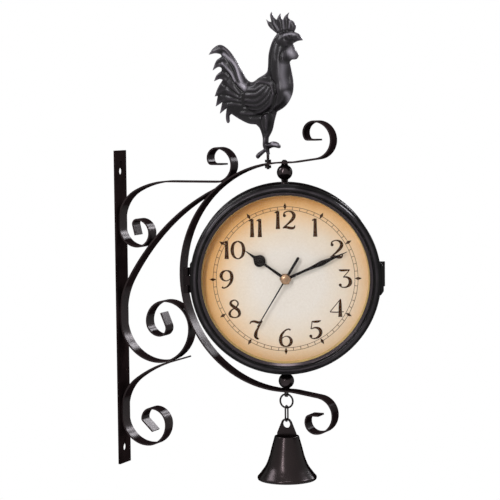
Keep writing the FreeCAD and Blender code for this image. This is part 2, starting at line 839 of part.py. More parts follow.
def build_rooster():
    edges = []
    for span in ROOSTER_SHARES:
        points = [Vector(x * v.rooster_length, 0, z * v.rooster_height) for x, z in span]
        if len(points) == 2:
            edges.append(Part.makeLine(*points))
            continue
        curve = Part.BSplineCurve()
        curve.interpolate(points)
        edges.append(curve.toShape())
    face = Part.Face(Part.Wire(edges))
    face.translate(Vector(0, -v.rooster_thickness / 2, 0))
    shape = face.extrude(Vector(0, v.rooster_thickness, 0))
    for shares in (BODY_SHARES, NECK_SHARES, HEAD_SHARES, THIGH_SHARES):
        shape = shape.fuse(swell(shares))
    strip_low = math.sqrt((v.hoop_inner) ** 2 - (v.rooster_offset + v.stud_nut_across / math.sqrt(3)) ** 2)
    stud_low = strip_low - v.stud_nut_height - v.stud_end
    foot = v.hoop_outer + v.rooster_stand
    root = v.stud_radius
    stud = Part.makeCylinder(v.stud_radius, foot + root - stud_low, Vector(0, 0, stud_low - foot))
    return shape.fuse(stud)


rooster = shaped("rooster_casting", build_rooster())
stud_at = clock_centre - Vector(v.rooster_offset, 0, 0)
keep(rooster, "rooster", Placement(stud_at + Vector(0, 0, v.hoop_outer + v.rooster_stand), Rotation()))

# The strip slopes under the rooster, so each of its nuts meets the strip at one edge
nut_half = "stud_nut_across / sqrt(3)"
upper_seat = f"sqrt(hoop_outer ^ 2 - (rooster_offset - {nut_half}) ^ 2)"
lower_seat = f"sqrt(hoop_inner ^ 2 - (rooster_offset + {nut_half}) ^ 2)"
over_stud = Placement(stud_at, Rotation())


def clamp_nut(name, low):
    return nut(name, "stud_nut_across", "stud_nut_height", "stud_radius", ("0", "0", low), over_stud)


clamp_nuts = [
    clamp_nut("upper_clamp", upper_seat),
    clamp_nut("lower_clamp", f"{lower_seat} - stud_nut_height"),
]
keep(group("clamp_pair", *clamp_nuts), "clamp_nuts")

# Ring, link, bell and clapper below the hoop
keep(torus("ring_wire_loop", "ring_radius", "ring_wire", ("0", "0", "0"), "y"), "hanging_ring")
put(NODES["hanging_ring"], ("clock_reach", "0", "clock_rise - ring_centre"))


def build_link():
    top = Vector(0, 0, -v.link_top)
    low = Vector(0, 0, -v.link_low)
    out = Vector(0, v.link_bow, 0)
    bow = Vector(0, 0, v.link_bow)
    route = [
        Part.Arc(top - out, top + bow, top + out).toShape(),
        Part.makeLine(top + out, low + out),
        Part.Arc(low + out, low - bow, low - out).toShape(),
        Part.makeLine(low - out, top - out),
    ]
    section = Part.Wire(Part.makeCircle(v.link_wire, top - out, Vector(0, 0, 1)))
    return Part.Wire(route).makePipeShell([section], True, False)


keep(shaped("link_wire_loop", build_link()), "link", upright)

# Outside of the bell: radius shares between top and mouth, against shares of its height
BELL_SHARES = [(0.0, 0.0), (0.17, 0.27), (0.31, 0.48), (0.51, 0.68), (0.77, 0.83), (1.0, 0.94)]
BELL_LIP_SHARE = 0.97


def bell_radius(share):
    return f"bell_top_radius + {share} * (bell_mouth_radius - bell_top_radius)"


outside = [(bell_radius(out), f"-bell_top - {down} * bell_height") for out, down in BELL_SHARES]
inside = [
    (f"{bell_radius(out)} - bell_wall", f"-bell_top - bell_wall - {down} * (bell_height - bell_wall)")
    for out, down in BELL_SHARES
]
lip = [
    (bell_radius(1), "-bell_bottom + bell_wall / 3"),
    (bell_radius(BELL_LIP_SHARE), "-bell_bottom"),
    (f"{bell_radius(BELL_LIP_SHARE)} - bell_wall", "-bell_bottom"),
]
crown = [("rivet_radius", "-bell_top - bell_wall"), ("rivet_radius", "-bell_top")]
bell = turned("bell_turning", outside + lip + inside[::-1] + crown)
keep(bell, "bell", upright)

TAB_SIDE_SHARE = 0.2


def build_bell_eye():
    half = v.bell_tab_base / 2
    rim = v.bell_tab_hole + v.bell_tab_rim
    base = -v.bell_top
    middle = Vector(0, 0, -v.tab_hole)
    side = base + TAB_SIDE_SHARE * v.bell_tab_rise
    right = Vector(half, 0, side)
    lean = right - middle
    bearing = math.degrees(math.atan2(lean.z, lean.x)) + math.degrees(math.acos(rim / lean.Length))
    touch = middle + ahead(bearing) * rim
    mirror_touch = Vector(-touch.x, 0, touch.z)
    edges = [
        Part.makeLine(Vector(-half, 0, base), Vector(half, 0, base)),
        Part.makeLine(Vector(half, 0, base), right),
        Part.makeLine(right, touch),
        Part.Arc(touch, middle + Vector(0, 0, rim), mirror_touch).toShape(),
        Part.makeLine(mirror_touch, Vector(-half, 0, side)),
        Part.makeLine(Vector(-half, 0, side), Vector(-half, 0, base)),
    ]
    back = Vector(0, v.bell_tab_thickness / 2, 0)
    plate = Part.Face(Part.Wire(edges)).extrude(back * 2)
    plate.translate(-back)
    over = Vector(0, v.overrun, 0)
    hole = Part.makeCylinder(v.bell_tab_hole, 2 * v.overrun, middle - over, Vector(0, 1, 0))
    shank_low = -v.clapper_hinge
    shank = Part.makeCylinder(v.rivet_radius, base - shank_low, Vector(0, 0, shank_low))
    eye_middle = Vector(0, 0, shank_low)
    eye = Part.makeCylinder(v.clapper_eye_radius, back.Length * 2, eye_middle - back, Vector(0, 1, 0))
    bore = Part.makeCylinder(v.clapper_eye_hole, 2 * v.overrun, eye_middle - over, Vector(0, 1, 0))
    flat = Part.makeBox(4 * v.rivet_radius, back.Length * 2, 2 * v.clapper_eye_drop)
    flat.translate(Vector(-2 * v.rivet_radius, -back.Length, shank_low - v.clapper_eye_drop))
    low_shank = Part.makeCylinder(v.rivet_radius, v.clapper_eye_radius, eye_middle)
    shank = shank.cut(low_shank).fuse(low_shank.common(flat))
    return plate.cut(hole).fuse(shank).fuse(eye).cut(bore)


keep(shaped("bell_eye_piece", build_bell_eye()), "bell_eye", upright)


def build_clapper():
    loop_at = ("0", "0", "-clapper_hinge - clapper_loop")
    loop = torus("clapper_loop_wire", "clapper_loop", "clapper_wire", loop_at, "x")
    rod_low = "clapper_hinge + clapper_length"
    rod_at = ("0", "0", f"-({rod_low})")
    rod = cylinder("clapper_stem", "clapper_rod", "clapper_length - 2 * clapper_loop", rod_at)
    ball = sphere("clapper_bob", "clapper_ball", rod_at)
    return fuse("clapper_piece", loop, rod, ball)


keep(build_clapper(), "clapper", upright)


# Clock case: drawn facing the viewer, X right, Y up, Z forward from the clock's middle
def facing(side):
    turn = v.clock_turn + (180 if side == "rear" else 0)
    return Placement(clock_centre, Rotation(Vector(0, 0, 1), turn) * Rotation(Vector(1, 0, 0), 90))


def build_drum():
    outer = cylinder("drum_outer", "drum_radius", "2 * parting", ("0", "0", "-parting"))
    hollow_at = ("0", "0", "-parting - overrun")
    hollow = cylinder("drum_hollow", "drum_inner", "2 * parting + 2 * overrun", hollow_at)
    hole_at = ("0", "-bezel_radius", "0")
    holes = cylinder("drum_bolt_holes", "bolt_radius + running_gap", "2 * bezel_radius", hole_at, "y")
    return cut("drum_band", outer, hollow, holes)


keep(build_drum(), "drum", facing("front"))


def on_side(item, side):
    item.Placement = facing(side)
    return item


def knuckle(name, low, length, leaf_back, shell, bore):
    """A hinge knuckle with the leaf that joins it to a round shell."""
    barrel_at = ("-hinge_x", low, "hinge_z")
    barrel = cylinder(name + "_barrel", "knuckle_radius", length, barrel_at, "y")
    leaf_length = f"hinge_x - {shell} + leaf_root"
    leaf_at = ("-hinge_x", low, leaf_back[0])
    leaf = box(name + "_leaf", leaf_length, length, leaf_back[1], leaf_at)
    room = cylinder(name + "_shell", shell, "2 * bezel_front", ("0", "0", "-bezel_front"))
    pin_at = ("-hinge_x", f"{low} - overrun", "hinge_z")
    pin_bore = cylinder(name + "_bore", bore, f"{length} + 2 * overrun", pin_at, "y")
    return cut(name, fuse(name + "_blank", barrel, leaf), room, pin_bore)


def case_leaves(side):
    behind = ("hinge_z - knuckle_radius", "knuckle_radius - hinge_forward")
    gap = "knuckle_length / 2 + door_gap"
    upper = knuckle(side + "_upper_leaf", gap, "case_knuckle_length", behind, "drum_radius", "pin_radius")
    low = f"-({gap}) - case_knuckle_length"
    lower = knuckle(side + "_lower_leaf", low, "case_knuckle_length", behind, "drum_radius", "pin_radius")
    return [on_side(upper, side), on_side(lower, side)]


def hinge_pin(side):
    half = "(knuckle_length / 2 + door_gap + case_knuckle_length)"
    pin_at = ("-hinge_x", f"-{half}", "hinge_z")
    pin = cylinder(side + "_pin", "pin_radius", f"2 * {half}", pin_at, "y")
    return on_side(group(side + "_pin_place", pin), side)


def latch_catch(side):
    button_at = ("drum_radius - catch_height", "0", "parting - latch_back / 2")
    button = cylinder(side + "_button", "catch_radius", "2 * catch_height", button_at, "x")
    shell = cylinder(side + "_catch_shell", "drum_radius", "2 * parting", ("0", "0", "-parting"))
    return on_side(cut(side + "_catch", button, shell), side)


SIDES = ("front", "rear")
keep(group("leaf_set", *[leaf for side in SIDES for leaf in case_leaves(side)]), "case_hinge_leaves")
keep(group("pin_pair", *[hinge_pin(side) for side in SIDES]), "hinge_pins")
keep(group("catch_pair", *[latch_catch(side) for side in SIDES]), "latch_catches")

# Bezel section: shares of its width inward and of its height forward
BEZEL_SHARES = [
    (0, 0), (0, 0.55), (0.10, 0.68), (0.24, 0.70), (0.32, 0.90), (0.46, 1.0), (0.62, 0.96), (0.74, 0.80),
]


def build_bezel(side):
    width = "(bezel_radius - dial_opening)"
    rise = "(bezel_front - bezel_back)"
    section = [(f"bezel_radius - {i} * {width}", f"bezel_back + {f} * {rise}") for i, f in BEZEL_SHARES]
    section += [
        ("dial_opening", "lip_front"),
        ("dial_opening", "glass_front"),
        ("glass_bore", "glass_front"),
        ("glass_bore", "dial_front"),
        ("dial_bore", "dial_front"),
        ("dial_bore", "case_front"),
        ("skirt_radius", "case_front"),
        ("skirt_radius", "bezel_back"),
    ]
    ring = turned(side + "_bezel_turning", section)
    tab = doc.addObject("Part::Wedge", side + "_latch_wedge")
    tab.Placement = Placement(Vector(), Rotation(Vector(0, 0, 1), -90))
    half = "latch_height / 2"
    bind(tab, Xmin=f"-{half}", Xmax=half, X2min=f"latch_slope - {half}", X2max=f"{half} - latch_slope")
    bind(tab, Ymin="0", Ymax="leaf_root + latch_stand")
    bind(tab, Zmin="-latch_back", Zmax="latch_front", Z2min="-latch_back", Z2max="latch_front")
    put(tab, ("bezel_radius - leaf_root", "0", "parting"))
    room_at = ("0", "0", "-bezel_front")
    room = cylinder(side + "_latch_room", "bezel_radius", "2 * bezel_front", room_at)
    return fuse(side + "_bezel_piece", ring, cut(side + "_latch_tab", tab, room))


def build_door_leaf(side):
    before = ("hinge_z", "knuckle_radius")
    bore = "pin_radius + running_gap"
    low = "-knuckle_length / 2"
    return knuckle(side + "_door_leaf", low, "knuckle_length", before, "bezel_radius", bore)


def build_dial(side):
    disc = cylinder(side + "_dial_disc", "dial_bore", "dial_thickness", ("0", "0", "case_front"))
    hole_at = ("0", "0", "case_front - overrun")
    hole = cylinder(side + "_dial_hole", "stem_radius + fit_gap", "dial_thickness + 2 * overrun", hole_at)
    return cut(side + "_dial_piece", disc, hole)


def build_glass(side):
    pane = cylinder(side + "_pane", "glass_bore", "glass_thickness", ("0", "0", "glass_back"))
    return group(side + "_pane_place", pane)


ARBORS = ("third", "drive", "rotor", "motion")


def arbor_holes(prefix, low, depth):
    holes = []
    for arbor in ARBORS:
        at = (f"{arbor}_x", f"{arbor}_y", low)
        holes.append(cylinder(f"{prefix}_{arbor}_hole", "arbor_radius + running_gap", depth, at))
    return holes


def build_movement_case(side):
    name = side + "_case"
    depth = "(case_front - cover_front)"
    height = "(case_top - case_low)"
    outer = box(name + "_outer", "2 * case_half", height, depth, ("-case_half", "case_low", "cover_front"))
    train = box(
        name + "_train_room",
        "2 * case_half - 2 * case_wall",
        "case_top - case_wall - divider_top",
        "case_inner - cover_front + overrun",
        ("-case_half + case_wall", "divider_top", "cover_front - overrun"),
    )
    bay = box(
        name + "_battery_room",
        "2 * case_half - 2 * case_wall",
        "divider_low - case_low - case_wall",
        "case_inner - cover_front + overrun",
        ("-case_half + case_wall", "case_low + case_wall", "cover_front - overrun"),
    )
    stem = cylinder(name + "_stem", "stem_radius", "stem_end - case_inner", ("0", "0", "case_inner"))
    bore_at = ("0", "0", "case_inner - overrun")
    bore = cylinder(name + "_bore", "stem_bore", "stem_end - case_inner + 2 * overrun", bore_at)
    holes = arbor_holes(name, "case_inner - overrun", "case_wall + 2 * overrun")
    return cut(name, fuse(name + "_shell", cut(name + "_tray", outer, train, bay), stem), bore, *holes)


def build_movement_cover(side):
    name = side + "_cover"
    plate_at = ("-case_half", "divider_low", "cover_back")
    plate = box(name + "_plate", "2 * case_half", "case_top - divider_low", "cover_thickness", plate_at)
    through = "cover_thickness + 2 * overrun"
    holes = arbor_holes(name, "cover_back - overrun", through)
    centre_at = ("0", "0", "cover_back - overrun")
    holes.append(cylinder(name + "_centre_hole", "seconds_arbor_radius + running_gap", through, centre_at))
    return cut(name, plate, *holes)


def build_stem_nut(side):
    return nut(
        side + "_stem_ring",
        "stem_nut_across",
        "stem_nut_height",
        "stem_radius",
        ("0", "0", "dial_front"),
        Placement(),
    )


def build_battery(side):
    name = side + "_cell"
    body_length = "battery_length - battery_nub"
    can_at = ("-battery_length / 2", "battery_y", "battery_z")
    can = cylinder(name + "_can", "battery_radius", body_length, can_at, "x")
    nub_at = ("battery_length / 2 - battery_nub", "battery_y", "battery_z")
    nub = cylinder(name + "_nub", "battery_nub_radius", "battery_nub", nub_at, "x")
    return fuse(name, can, nub)


def build_contacts(side):
    pieces = []
    for name, way in ((side + "_plus", 1), (side + "_minus", -1)):
        wall = "case_half - case_wall"
        plate_x = f"{wall} - contact_thickness" if way == 1 else f"-({wall})"
        plate_at = (plate_x, "battery_y - contact_size / 2", "battery_z - contact_size / 2")
        plate = box(name + "_plate", "contact_thickness", "contact_size", "contact_size", plate_at)
        reach = "contact_room - contact_thickness"
        if way == 1:
            spring = cone(
                name + "_spring", "battery_nub_radius", "spring_radius", reach,
                ("battery_length / 2", "battery_y", "battery_z"), "x",
            )
        else:
            spring = cone(
                name + "_spring", "contact_size / 2", "spring_radius", reach,
                (f"-({wall} - contact_thickness)", "battery_y", "battery_z"), "x",
            )
        pieces.append(fuse(name + "_contact", plate, spring))
    return group(side + "_contact_pair", *pieces)


def build_drive_unit(side):
    """Stator with its coil, and the board that pulses it."""
    name = side + "_drive"
    plate = box(
        name + "_plate", "coil_reach + stator_half", "2 * stator_half", "stator_thickness",
        ("rotor_x - stator_half", "rotor_y - stator_half", "stator_back"),
    )
    core_at = ("coil_x - coil_core / 2", "rotor_y - coil_length / 2", "stator_back")
    core = box(name + "_core", "coil_core", "coil_length", "stator_thickness", core_at)
    opening_at = ("rotor_x", "rotor_y", "stator_back - overrun")
    opening = cylinder(
        name + "_opening", "magnet_radius + magnet_gap", "stator_thickness + 2 * overrun", opening_at
    )
    stator = cut(name + "_stator", fuse(name + "_iron", plate, core), opening)
    coil_at = ("coil_x", "rotor_y - coil_length / 2", "coil_z")
    winding = cylinder(name + "_winding", "coil_radius", "coil_length", coil_at, "y")
    iron_room = fuse(name + "_iron_room", plate, core)
    coil = cut(name + "_coil", winding, iron_room)
    board_at = (
        "-case_half + case_wall",
        "case_top - case_wall - board_height",
        "case_inner - board_thickness",
    )
    board = box(name + "_board", "board_width", "board_height", "board_thickness", board_at)
    return group(name + "_unit", stator, coil, board)


# Wheels and pinions of one movement
def level(number):
    """Front face of a level of wheels, counted backward from the case's front wall."""
    return v.case_inner - v.level_gap - number * v.level_pitch


def toothed(pitch_radius, teeth, phase, back, front, middle):
    """A toothed disc with one tooth pointing at the phase angle."""
    module = 2 * pitch_radius / teeth
    tip = pitch_radius + ADDENDUM_SHARE * module
    root = pitch_radius - DEDENDUM_SHARE * module
    pitch = 360 / teeth
    points = []
    for tooth in range(teeth):
        for radius, share in (
            (root, -TOOTH_ROOT_SHARE),
            (tip, -TOOTH_TIP_SHARE),
            (tip, TOOTH_TIP_SHARE),
            (root, TOOTH_ROOT_SHARE),
        ):
            angle = math.radians(phase + (tooth + share) * pitch)
            points.append(middle + Vector(radius * math.cos(angle), radius * math.sin(angle), back))
    face = Part.Face(Part.makePolygon(points + points[:1]))
    return face.extrude(Vector(0, 0, front - back))


def meshing_radius(distance, teeth, other_teeth):
    return distance * teeth / (teeth + other_teeth)


def rod(radius, back, front, middle=Vector()):
    return Part.makeCylinder(radius, front - back, middle + Vector(0, 0, back))


def wheel_on_level(number, pitch_radius, teeth, phase, middle):
    front = level(number)
    return toothed(pitch_radius, teeth, phase, front - v.wheel_thickness, front, middle)


def leaves_before(number, pitch_radius, leaves, phase, middle):
    """The pinion in front of a wheel, long enough to reach the wheel it turns."""
    front = level(number - 1) + v.leaf_overhang
    return toothed(pitch_radius, leaves, phase, level(number), front, middle)


def gap_phase(bearing, teeth):
    """Phase that turns a gap between teeth toward a bearing."""
    return bearing + 180 / teeth


centre = Vector()
third_at = Vector(v.third_x, v.third_y, 0)
motion_at = Vector(v.motion_x, v.motion_y, 0)
drive_at = Vector(v.drive_x, v.drive_y, 0)
rotor_at = Vector(v.rotor_x, v.rotor_y, 0)
arbor_front = v.case_front - v.end_gap
arbor_back = v.cover_back + v.end_gap


def build_hour_wheel():
    radius = meshing_radius(v.motion_distance, HOUR_TEETH, MOTION_LEAVES)
    wheel = wheel_on_level(0, radius, HOUR_TEETH, gap_phase(v.motion_bearing, HOUR_TEETH), centre)
    back = level(0) - v.wheel_thickness
    pipe = rod(v.hour_pipe, back, v.hour_hand_front)
    return wheel.fuse(pipe).cut(rod(v.hour_bore, back - v.overrun, v.hour_hand_front + v.overrun))


def build_minute_wheel():
    radius = meshing_radius(v.third_distance, MINUTE_TEETH, THIRD_LEAVES)
    wheel = wheel_on_level(2, radius, MINUTE_TEETH, gap_phase(v.third_bearing, MINUTE_TEETH), centre)
    leaf_radius = meshing_radius(v.motion_distance, MINUTE_LEAVES, MOTION_TEETH)
    leaves = leaves_before(2, leaf_radius, MINUTE_LEAVES, v.motion_bearing, centre)
    back = level(2) - v.wheel_thickness
    pipe = rod(v.minute_pipe, back, v.minute_hand_front)
    bore = rod(v.seconds_bore, back - v.overrun, v.minute_hand_front + v.overrun)
    return wheel.fuse(leaves).fuse(pipe).cut(bore)


def build_seconds_wheel():
    radius = meshing_radius(v.drive_distance, SECONDS_TEETH, DRIVE_LEAVES)
    wheel = wheel_on_level(4, radius, SECONDS_TEETH, gap_phase(v.drive_bearing, SECONDS_TEETH), centre)
    leaf_radius = meshing_radius(v.third_distance, SECONDS_LEAVES, THIRD_TEETH)
    leaves = leaves_before(4, leaf_radius, SECONDS_LEAVES, v.third_bearing, centre)
    arbor = rod(v.seconds_arbor_radius, arbor_back, v.second_hand_front)
    return wheel.fuse(leaves).fuse(arbor)


def build_third_wheel():
    toward = v.third_bearing + 180
    radius = meshing_radius(v.third_distance, THIRD_TEETH, SECONDS_LEAVES)
    wheel = wheel_on_level(3, radius, THIRD_TEETH, gap_phase(toward, THIRD_TEETH), third_at)
    leaf_radius = meshing_radius(v.third_distance, THIRD_LEAVES, MINUTE_TEETH)
    leaves = leaves_before(3, leaf_radius, THIRD_LEAVES, toward, third_at)
    return wheel.fuse(leaves).fuse(rod(v.arbor_radius, arbor_back, arbor_front, third_at))


def build_motion_wheel():
    toward = v.motion_bearing + 180
    radius = meshing_radius(v.motion_distance, MOTION_TEETH, MINUTE_LEAVES)
    wheel = wheel_on_level(1, radius, MOTION_TEETH, gap_phase(toward, MOTION_TEETH), motion_at)
    leaf_radius = meshing_radius(v.motion_distance, MOTION_LEAVES, HOUR_TEETH)
    leaves = leaves_before(1, leaf_radius, MOTION_LEAVES, toward, motion_at)
    knob = rod(v.knob_radius, v.mid_gap, v.cover_back - v.end_gap, motion_at)
    return wheel.fuse(leaves).fuse(rod(v.arbor_radius, v.mid_gap, arbor_front, motion_at)).fuse(knob)


def build_intermediate_wheel():
    radius = meshing_radius(v.rotor_distance, DRIVE_TEETH, ROTOR_LEAVES)
    wheel = wheel_on_level(5, radius, DRIVE_TEETH, gap_phase(v.rotor_bearing, DRIVE_TEETH), drive_at)
    leaf_radius = meshing_radius(v.drive_distance, DRIVE_LEAVES, SECONDS_TEETH)
    leaves = leaves_before(5, leaf_radius, DRIVE_LEAVES, v.drive_bearing + 180, drive_at)
    return wheel.fuse(leaves).fuse(rod(v.arbor_radius, arbor_back, arbor_front, drive_at))


def build_rotor():
    magnet = rod(v.magnet_radius, v.magnet_front - v.magnet_thickness, v.magnet_front, rotor_at)
    leaf_radius = meshing_radius(v.rotor_distance, ROTOR_LEAVES, DRIVE_TEETH)
    leaves = leaves_before(6, leaf_radius, ROTOR_LEAVES, v.rotor_bearing + 180, rotor_at)
    return magnet.fuse(leaves).fuse(rod(v.arbor_radius, arbor_back, arbor_front, rotor_at))


# Hands, drawn at their angles of rest
HUB_BLEND_SHARE = 0.5
TIP_SHARE = 0.45


def blade(half_widths, back, thickness, angle):
    """A flat blade at a clock angle, from (distance along it, half its width) pairs."""
    right = [Vector(half, along, back) for along, half in half_widths]
    left = [Vector(-half, along, back) for along, half in reversed(half_widths)]
    turn = Rotation(Vector(0, 0, 1), -angle)
    points = [turn.multVec(point) for point in right + left]
    return Part.Face(Part.makePolygon(points + points[:1])).extrude(Vector(0, 0, thickness))


def hub(shape, bore, back, front):
    shape = shape.fuse(rod(v.hub_radius, back, front))
    return shape.cut(rod(bore, back - v.overrun, front + v.overrun))


def build_hour_hand():
    half = v.hour_hand_width / 2
    profile = [
        (0, half),
        (v.hour_spade_place + v.hour_spade_radius * HUB_BLEND_SHARE, half),
        (v.hour_spade_place + v.hour_spade_radius * (1 + HUB_BLEND_SHARE), half),
        (v.hour_hand_length, half * TIP_SHARE),
    ]
    shape = blade(profile, v.hour_hand_back, v.hand_thickness, HOUR_ANGLE)
    spade_at = Rotation(Vector(0, 0, 1), -HOUR_ANGLE).multVec(Vector(0, v.hour_spade_place, 0))
    spade = rod(v.hour_spade_radius, v.hour_hand_back, v.hour_hand_front, spade_at)
    return hub(shape.fuse(spade), v.hour_pipe, v.hour_hand_back, v.hour_hand_front)


def build_minute_hand():
    half = v.minute_hand_width / 2
    profile = [
        (0, half),
        (v.minute_lance_place, v.minute_lance_width / 2),
        (v.minute_hand_length, half * TIP_SHARE / 2),
    ]
    shape = blade(profile, v.minute_hand_back, v.hand_thickness, MINUTE_ANGLE)
    return hub(shape, v.minute_pipe, v.minute_hand_back, v.minute_hand_front)


def build_second_hand():
    pointer = blade(
        [(0, v.second_hand_width / 2), (v.second_hand_length, v.second_hand_width / 2 * TIP_SHARE)],
        v.second_hand_back,
        v.hand_thickness,
        SECOND_ANGLE,
    )
    tail = blade(
        [(-v.second_tail_length, v.second_tail_width / 2), (0, v.second_tail_width / 2)],
        v.second_hand_back,
        v.hand_thickness,
        SECOND_ANGLE,
    )
    shape = hub(pointer.fuse(tail), v.seconds_arbor_radius, v.second_hand_back, v.second_hand_front)
    cap_top = v.cap_radius * HUB_BLEND_SHARE
    cap = Part.makeCone(v.cap_radius, cap_top, v.cap_height, Vector(0, 0, v.second_hand_front))
    return shape.fuse(cap)


WHEELS = {
    "rotor": build_rotor,
    "intermediate_wheel": build_intermediate_wheel,
    "seconds_wheel": build_seconds_wheel,
    "third_wheel": build_third_wheel,
    "minute_wheel": build_minute_wheel,
    "motion_wheel": build_motion_wheel,
    "hour_wheel": build_hour_wheel,
    "hour_hand": build_hour_hand,
    "minute_hand": build_minute_hand,
    "second_hand": build_second_hand,
}
HOUSED = {
    "bezel": build_bezel,
    "hinge_leaf": build_door_leaf,
    "glass": build_glass,
    "dial": build_dial,
    "movement_case": build_movement_case,
    "movement_cover": build_movement_cover,
    "stem_nut": build_stem_nut,
    "battery": build_battery,
    "battery_contacts": build_contacts,
    "drive_unit": build_drive_unit,
}
for side in SIDES:
    for piece, build in HOUSED.items():
        keep(build(side), f"{side}_{piece}", facing(side))
    for piece, build in WHEELS.items():
        keep(shaped(f"{side}_{piece}_piece", build()), f"{side}_{piece}", facing(side))

doc.recompute()
for item in doc.Objects:
    if "Invalid" in item.State or "Error" in item.State:
        raise RuntimeError(f"{item.Label} failed: {item.State}")
for label, item in NODES.items():
    if item.Label != label:
        raise RuntimeError(f"{label} is labelled {item.Label}")
    if item.Shape.isNull() or not item.Shape.isValid():
        raise RuntimeError(f"{label} has no valid shape")
os.makedirs("parts", exist_ok=True)
for label, item in NODES.items():
    item.Shape.exportStep(f"parts/{label}.step")
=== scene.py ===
import math

import bmesh
import bpy
import numpy as np
from mathutils import Matrix, Vector
from mathutils.geometry import delaunay_2d_cdt


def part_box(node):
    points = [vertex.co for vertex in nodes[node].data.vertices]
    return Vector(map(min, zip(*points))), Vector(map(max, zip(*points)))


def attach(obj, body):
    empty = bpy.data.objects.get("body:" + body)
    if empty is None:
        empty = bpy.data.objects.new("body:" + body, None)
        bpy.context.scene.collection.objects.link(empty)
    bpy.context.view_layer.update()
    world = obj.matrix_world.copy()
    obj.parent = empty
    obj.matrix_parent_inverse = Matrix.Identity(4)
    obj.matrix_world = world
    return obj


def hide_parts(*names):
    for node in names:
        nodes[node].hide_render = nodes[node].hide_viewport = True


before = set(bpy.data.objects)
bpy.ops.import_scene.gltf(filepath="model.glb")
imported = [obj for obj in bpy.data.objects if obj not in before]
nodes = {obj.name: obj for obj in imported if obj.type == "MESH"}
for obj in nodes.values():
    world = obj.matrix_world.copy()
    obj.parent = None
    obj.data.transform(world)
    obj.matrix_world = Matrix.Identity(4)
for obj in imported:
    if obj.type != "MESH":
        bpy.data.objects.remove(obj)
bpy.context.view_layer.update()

# Places taken from the CAD, in metres
MM = 0.001
CLOCK = Vector((200, 0, 43)) * MM
CLOCK_TURN = math.radians(24)
ROOSTER_FOOT = Vector((180.8, 0, 172.9)) * MM
SIDES = ("front", "rear")


def face_matrix(side):
    """Places a face's own X right, Y up and Z forward in the shared frame."""
    turn = CLOCK_TURN + (math.pi if side == "rear" else 0)
    upright = Matrix.Rotation(math.pi / 2, 4, "X")
    return Matrix.Translation(CLOCK) @ Matrix.Rotation(turn, 4, "Z") @ upright


# Materials
class NodeTree:
    """A node tree with short calls to add and join nodes."""

    def __init__(self, tree):
        self.tree = tree

    def add(self, kind, inputs=None, **settings):
        node = self.tree.nodes.new("ShaderNode" + kind)
        for key, value in settings.items():
            setattr(node, key, value)
        for key, value in (inputs or {}).items():
            self.give(node.inputs[key], value)
        return node

    def give(self, socket, value):
        """Links another node's output to a socket, or sets its value."""
        if isinstance(value, bpy.types.NodeSocket):
            self.tree.links.new(value, socket)
        else:
            socket.default_value = value

    def math(self, operation, first, second):
        return self.add("Math", {0: first, 1: second}, operation=operation).outputs["Value"]

    def seen_rays(self):
        """1 for what the eye sees, straight or by mirrors and glass, 0 for what lights the object."""
        path = self.add("LightPath").outputs
        bounced = self.math("MAXIMUM", path["Is Glossy Ray"], path["Is Transmission Ray"])
        return self.math("MAXIMUM", path["Is Camera Ray"], bounced)


class Shader(NodeTree):
    """A material's node tree, with short calls for what the materials share."""

    def __init__(self, name):
        self.material = bpy.data.materials.new(name)
        self.material.use_nodes = True
        super().__init__(self.material.node_tree)
        self.surface = self.tree.nodes["Principled BSDF"]
        self.coords = self.add("TexCoord").outputs["Object"]

    def set(self, **values):
        for key, value in values.items():
            self.give(self.surface.inputs[key.replace("_", " ")], value)

    def noise(self, scale, detail, rough=0.55):
        inputs = {"Vector": self.coords, "Scale": scale, "Detail": detail, "Roughness": rough}
        return self.add("TexNoise", inputs).outputs["Fac"]

    def ramp(self, fac, *stops):
        node = self.add("ValToRGB", {"Fac": fac})
        elements = node.color_ramp.elements
        while len(elements) < len(stops):
            elements.new(0.5)
        for element, (place, colour) in zip(elements, stops):
            element.position = place
            element.color = (*colour, 1)
        return node.outputs["Color"]

    def between(self, fac, low, high):
        """A number from low to high as the factor goes from 0 to 1."""
        inputs = {"Value": fac, "To Min": low, "To Max": high}
        return self.add("MapRange", inputs).outputs["Result"]

    def share(self, value, low, high):
        """A number from 0 to 1 as the value goes from low to high."""
        inputs = {"Value": value, "From Min": low, "From Max": high}
        return self.add("MapRange", inputs).outputs["Result"]

    def vector(self, operation, first, second=(0, 0, 0)):
        """The outputs of a vector operation, Vector and Value."""
        return self.add("VectorMath", {0: first, 1: second}, operation=operation).outputs

    def radius(self):
        """Distance from the piece's own Z axis."""
        flat = self.vector("MULTIPLY", self.coords, (1, 1, 0))["Vector"]
        return self.vector("LENGTH", flat)["Value"]

    def mix(self, fac, first, second, blend="MIX"):
        node = self.add("Mix", {"Factor": fac}, data_type="RGBA", blend_type=blend)
        colours = [socket for socket in node.inputs if socket.type == "RGBA"]
        self.give(colours[0], first)
        self.give(colours[1], second)
        return next(socket for socket in node.outputs if socket.type == "RGBA")

    def shine(self, level, fade):
        """Mirror strength: level straight on, none from the share fade of the way to a flat view."""
        facing = self.add("LayerWeight", {"Blend": 0.5}).outputs["Facing"]
        self.set(Specular_IOR_Level=self.ramp(facing, (0.0, (level, level, level)), (fade, (0, 0, 0))))

    def bump(self, height, grain, strength):
        """Uneven surface whose grain is a depth in millimetres."""
        node = self.add("Bump", {"Height": height, "Distance": grain * MM, "Strength": strength})
        self.set(Normal=node.outputs["Normal"])


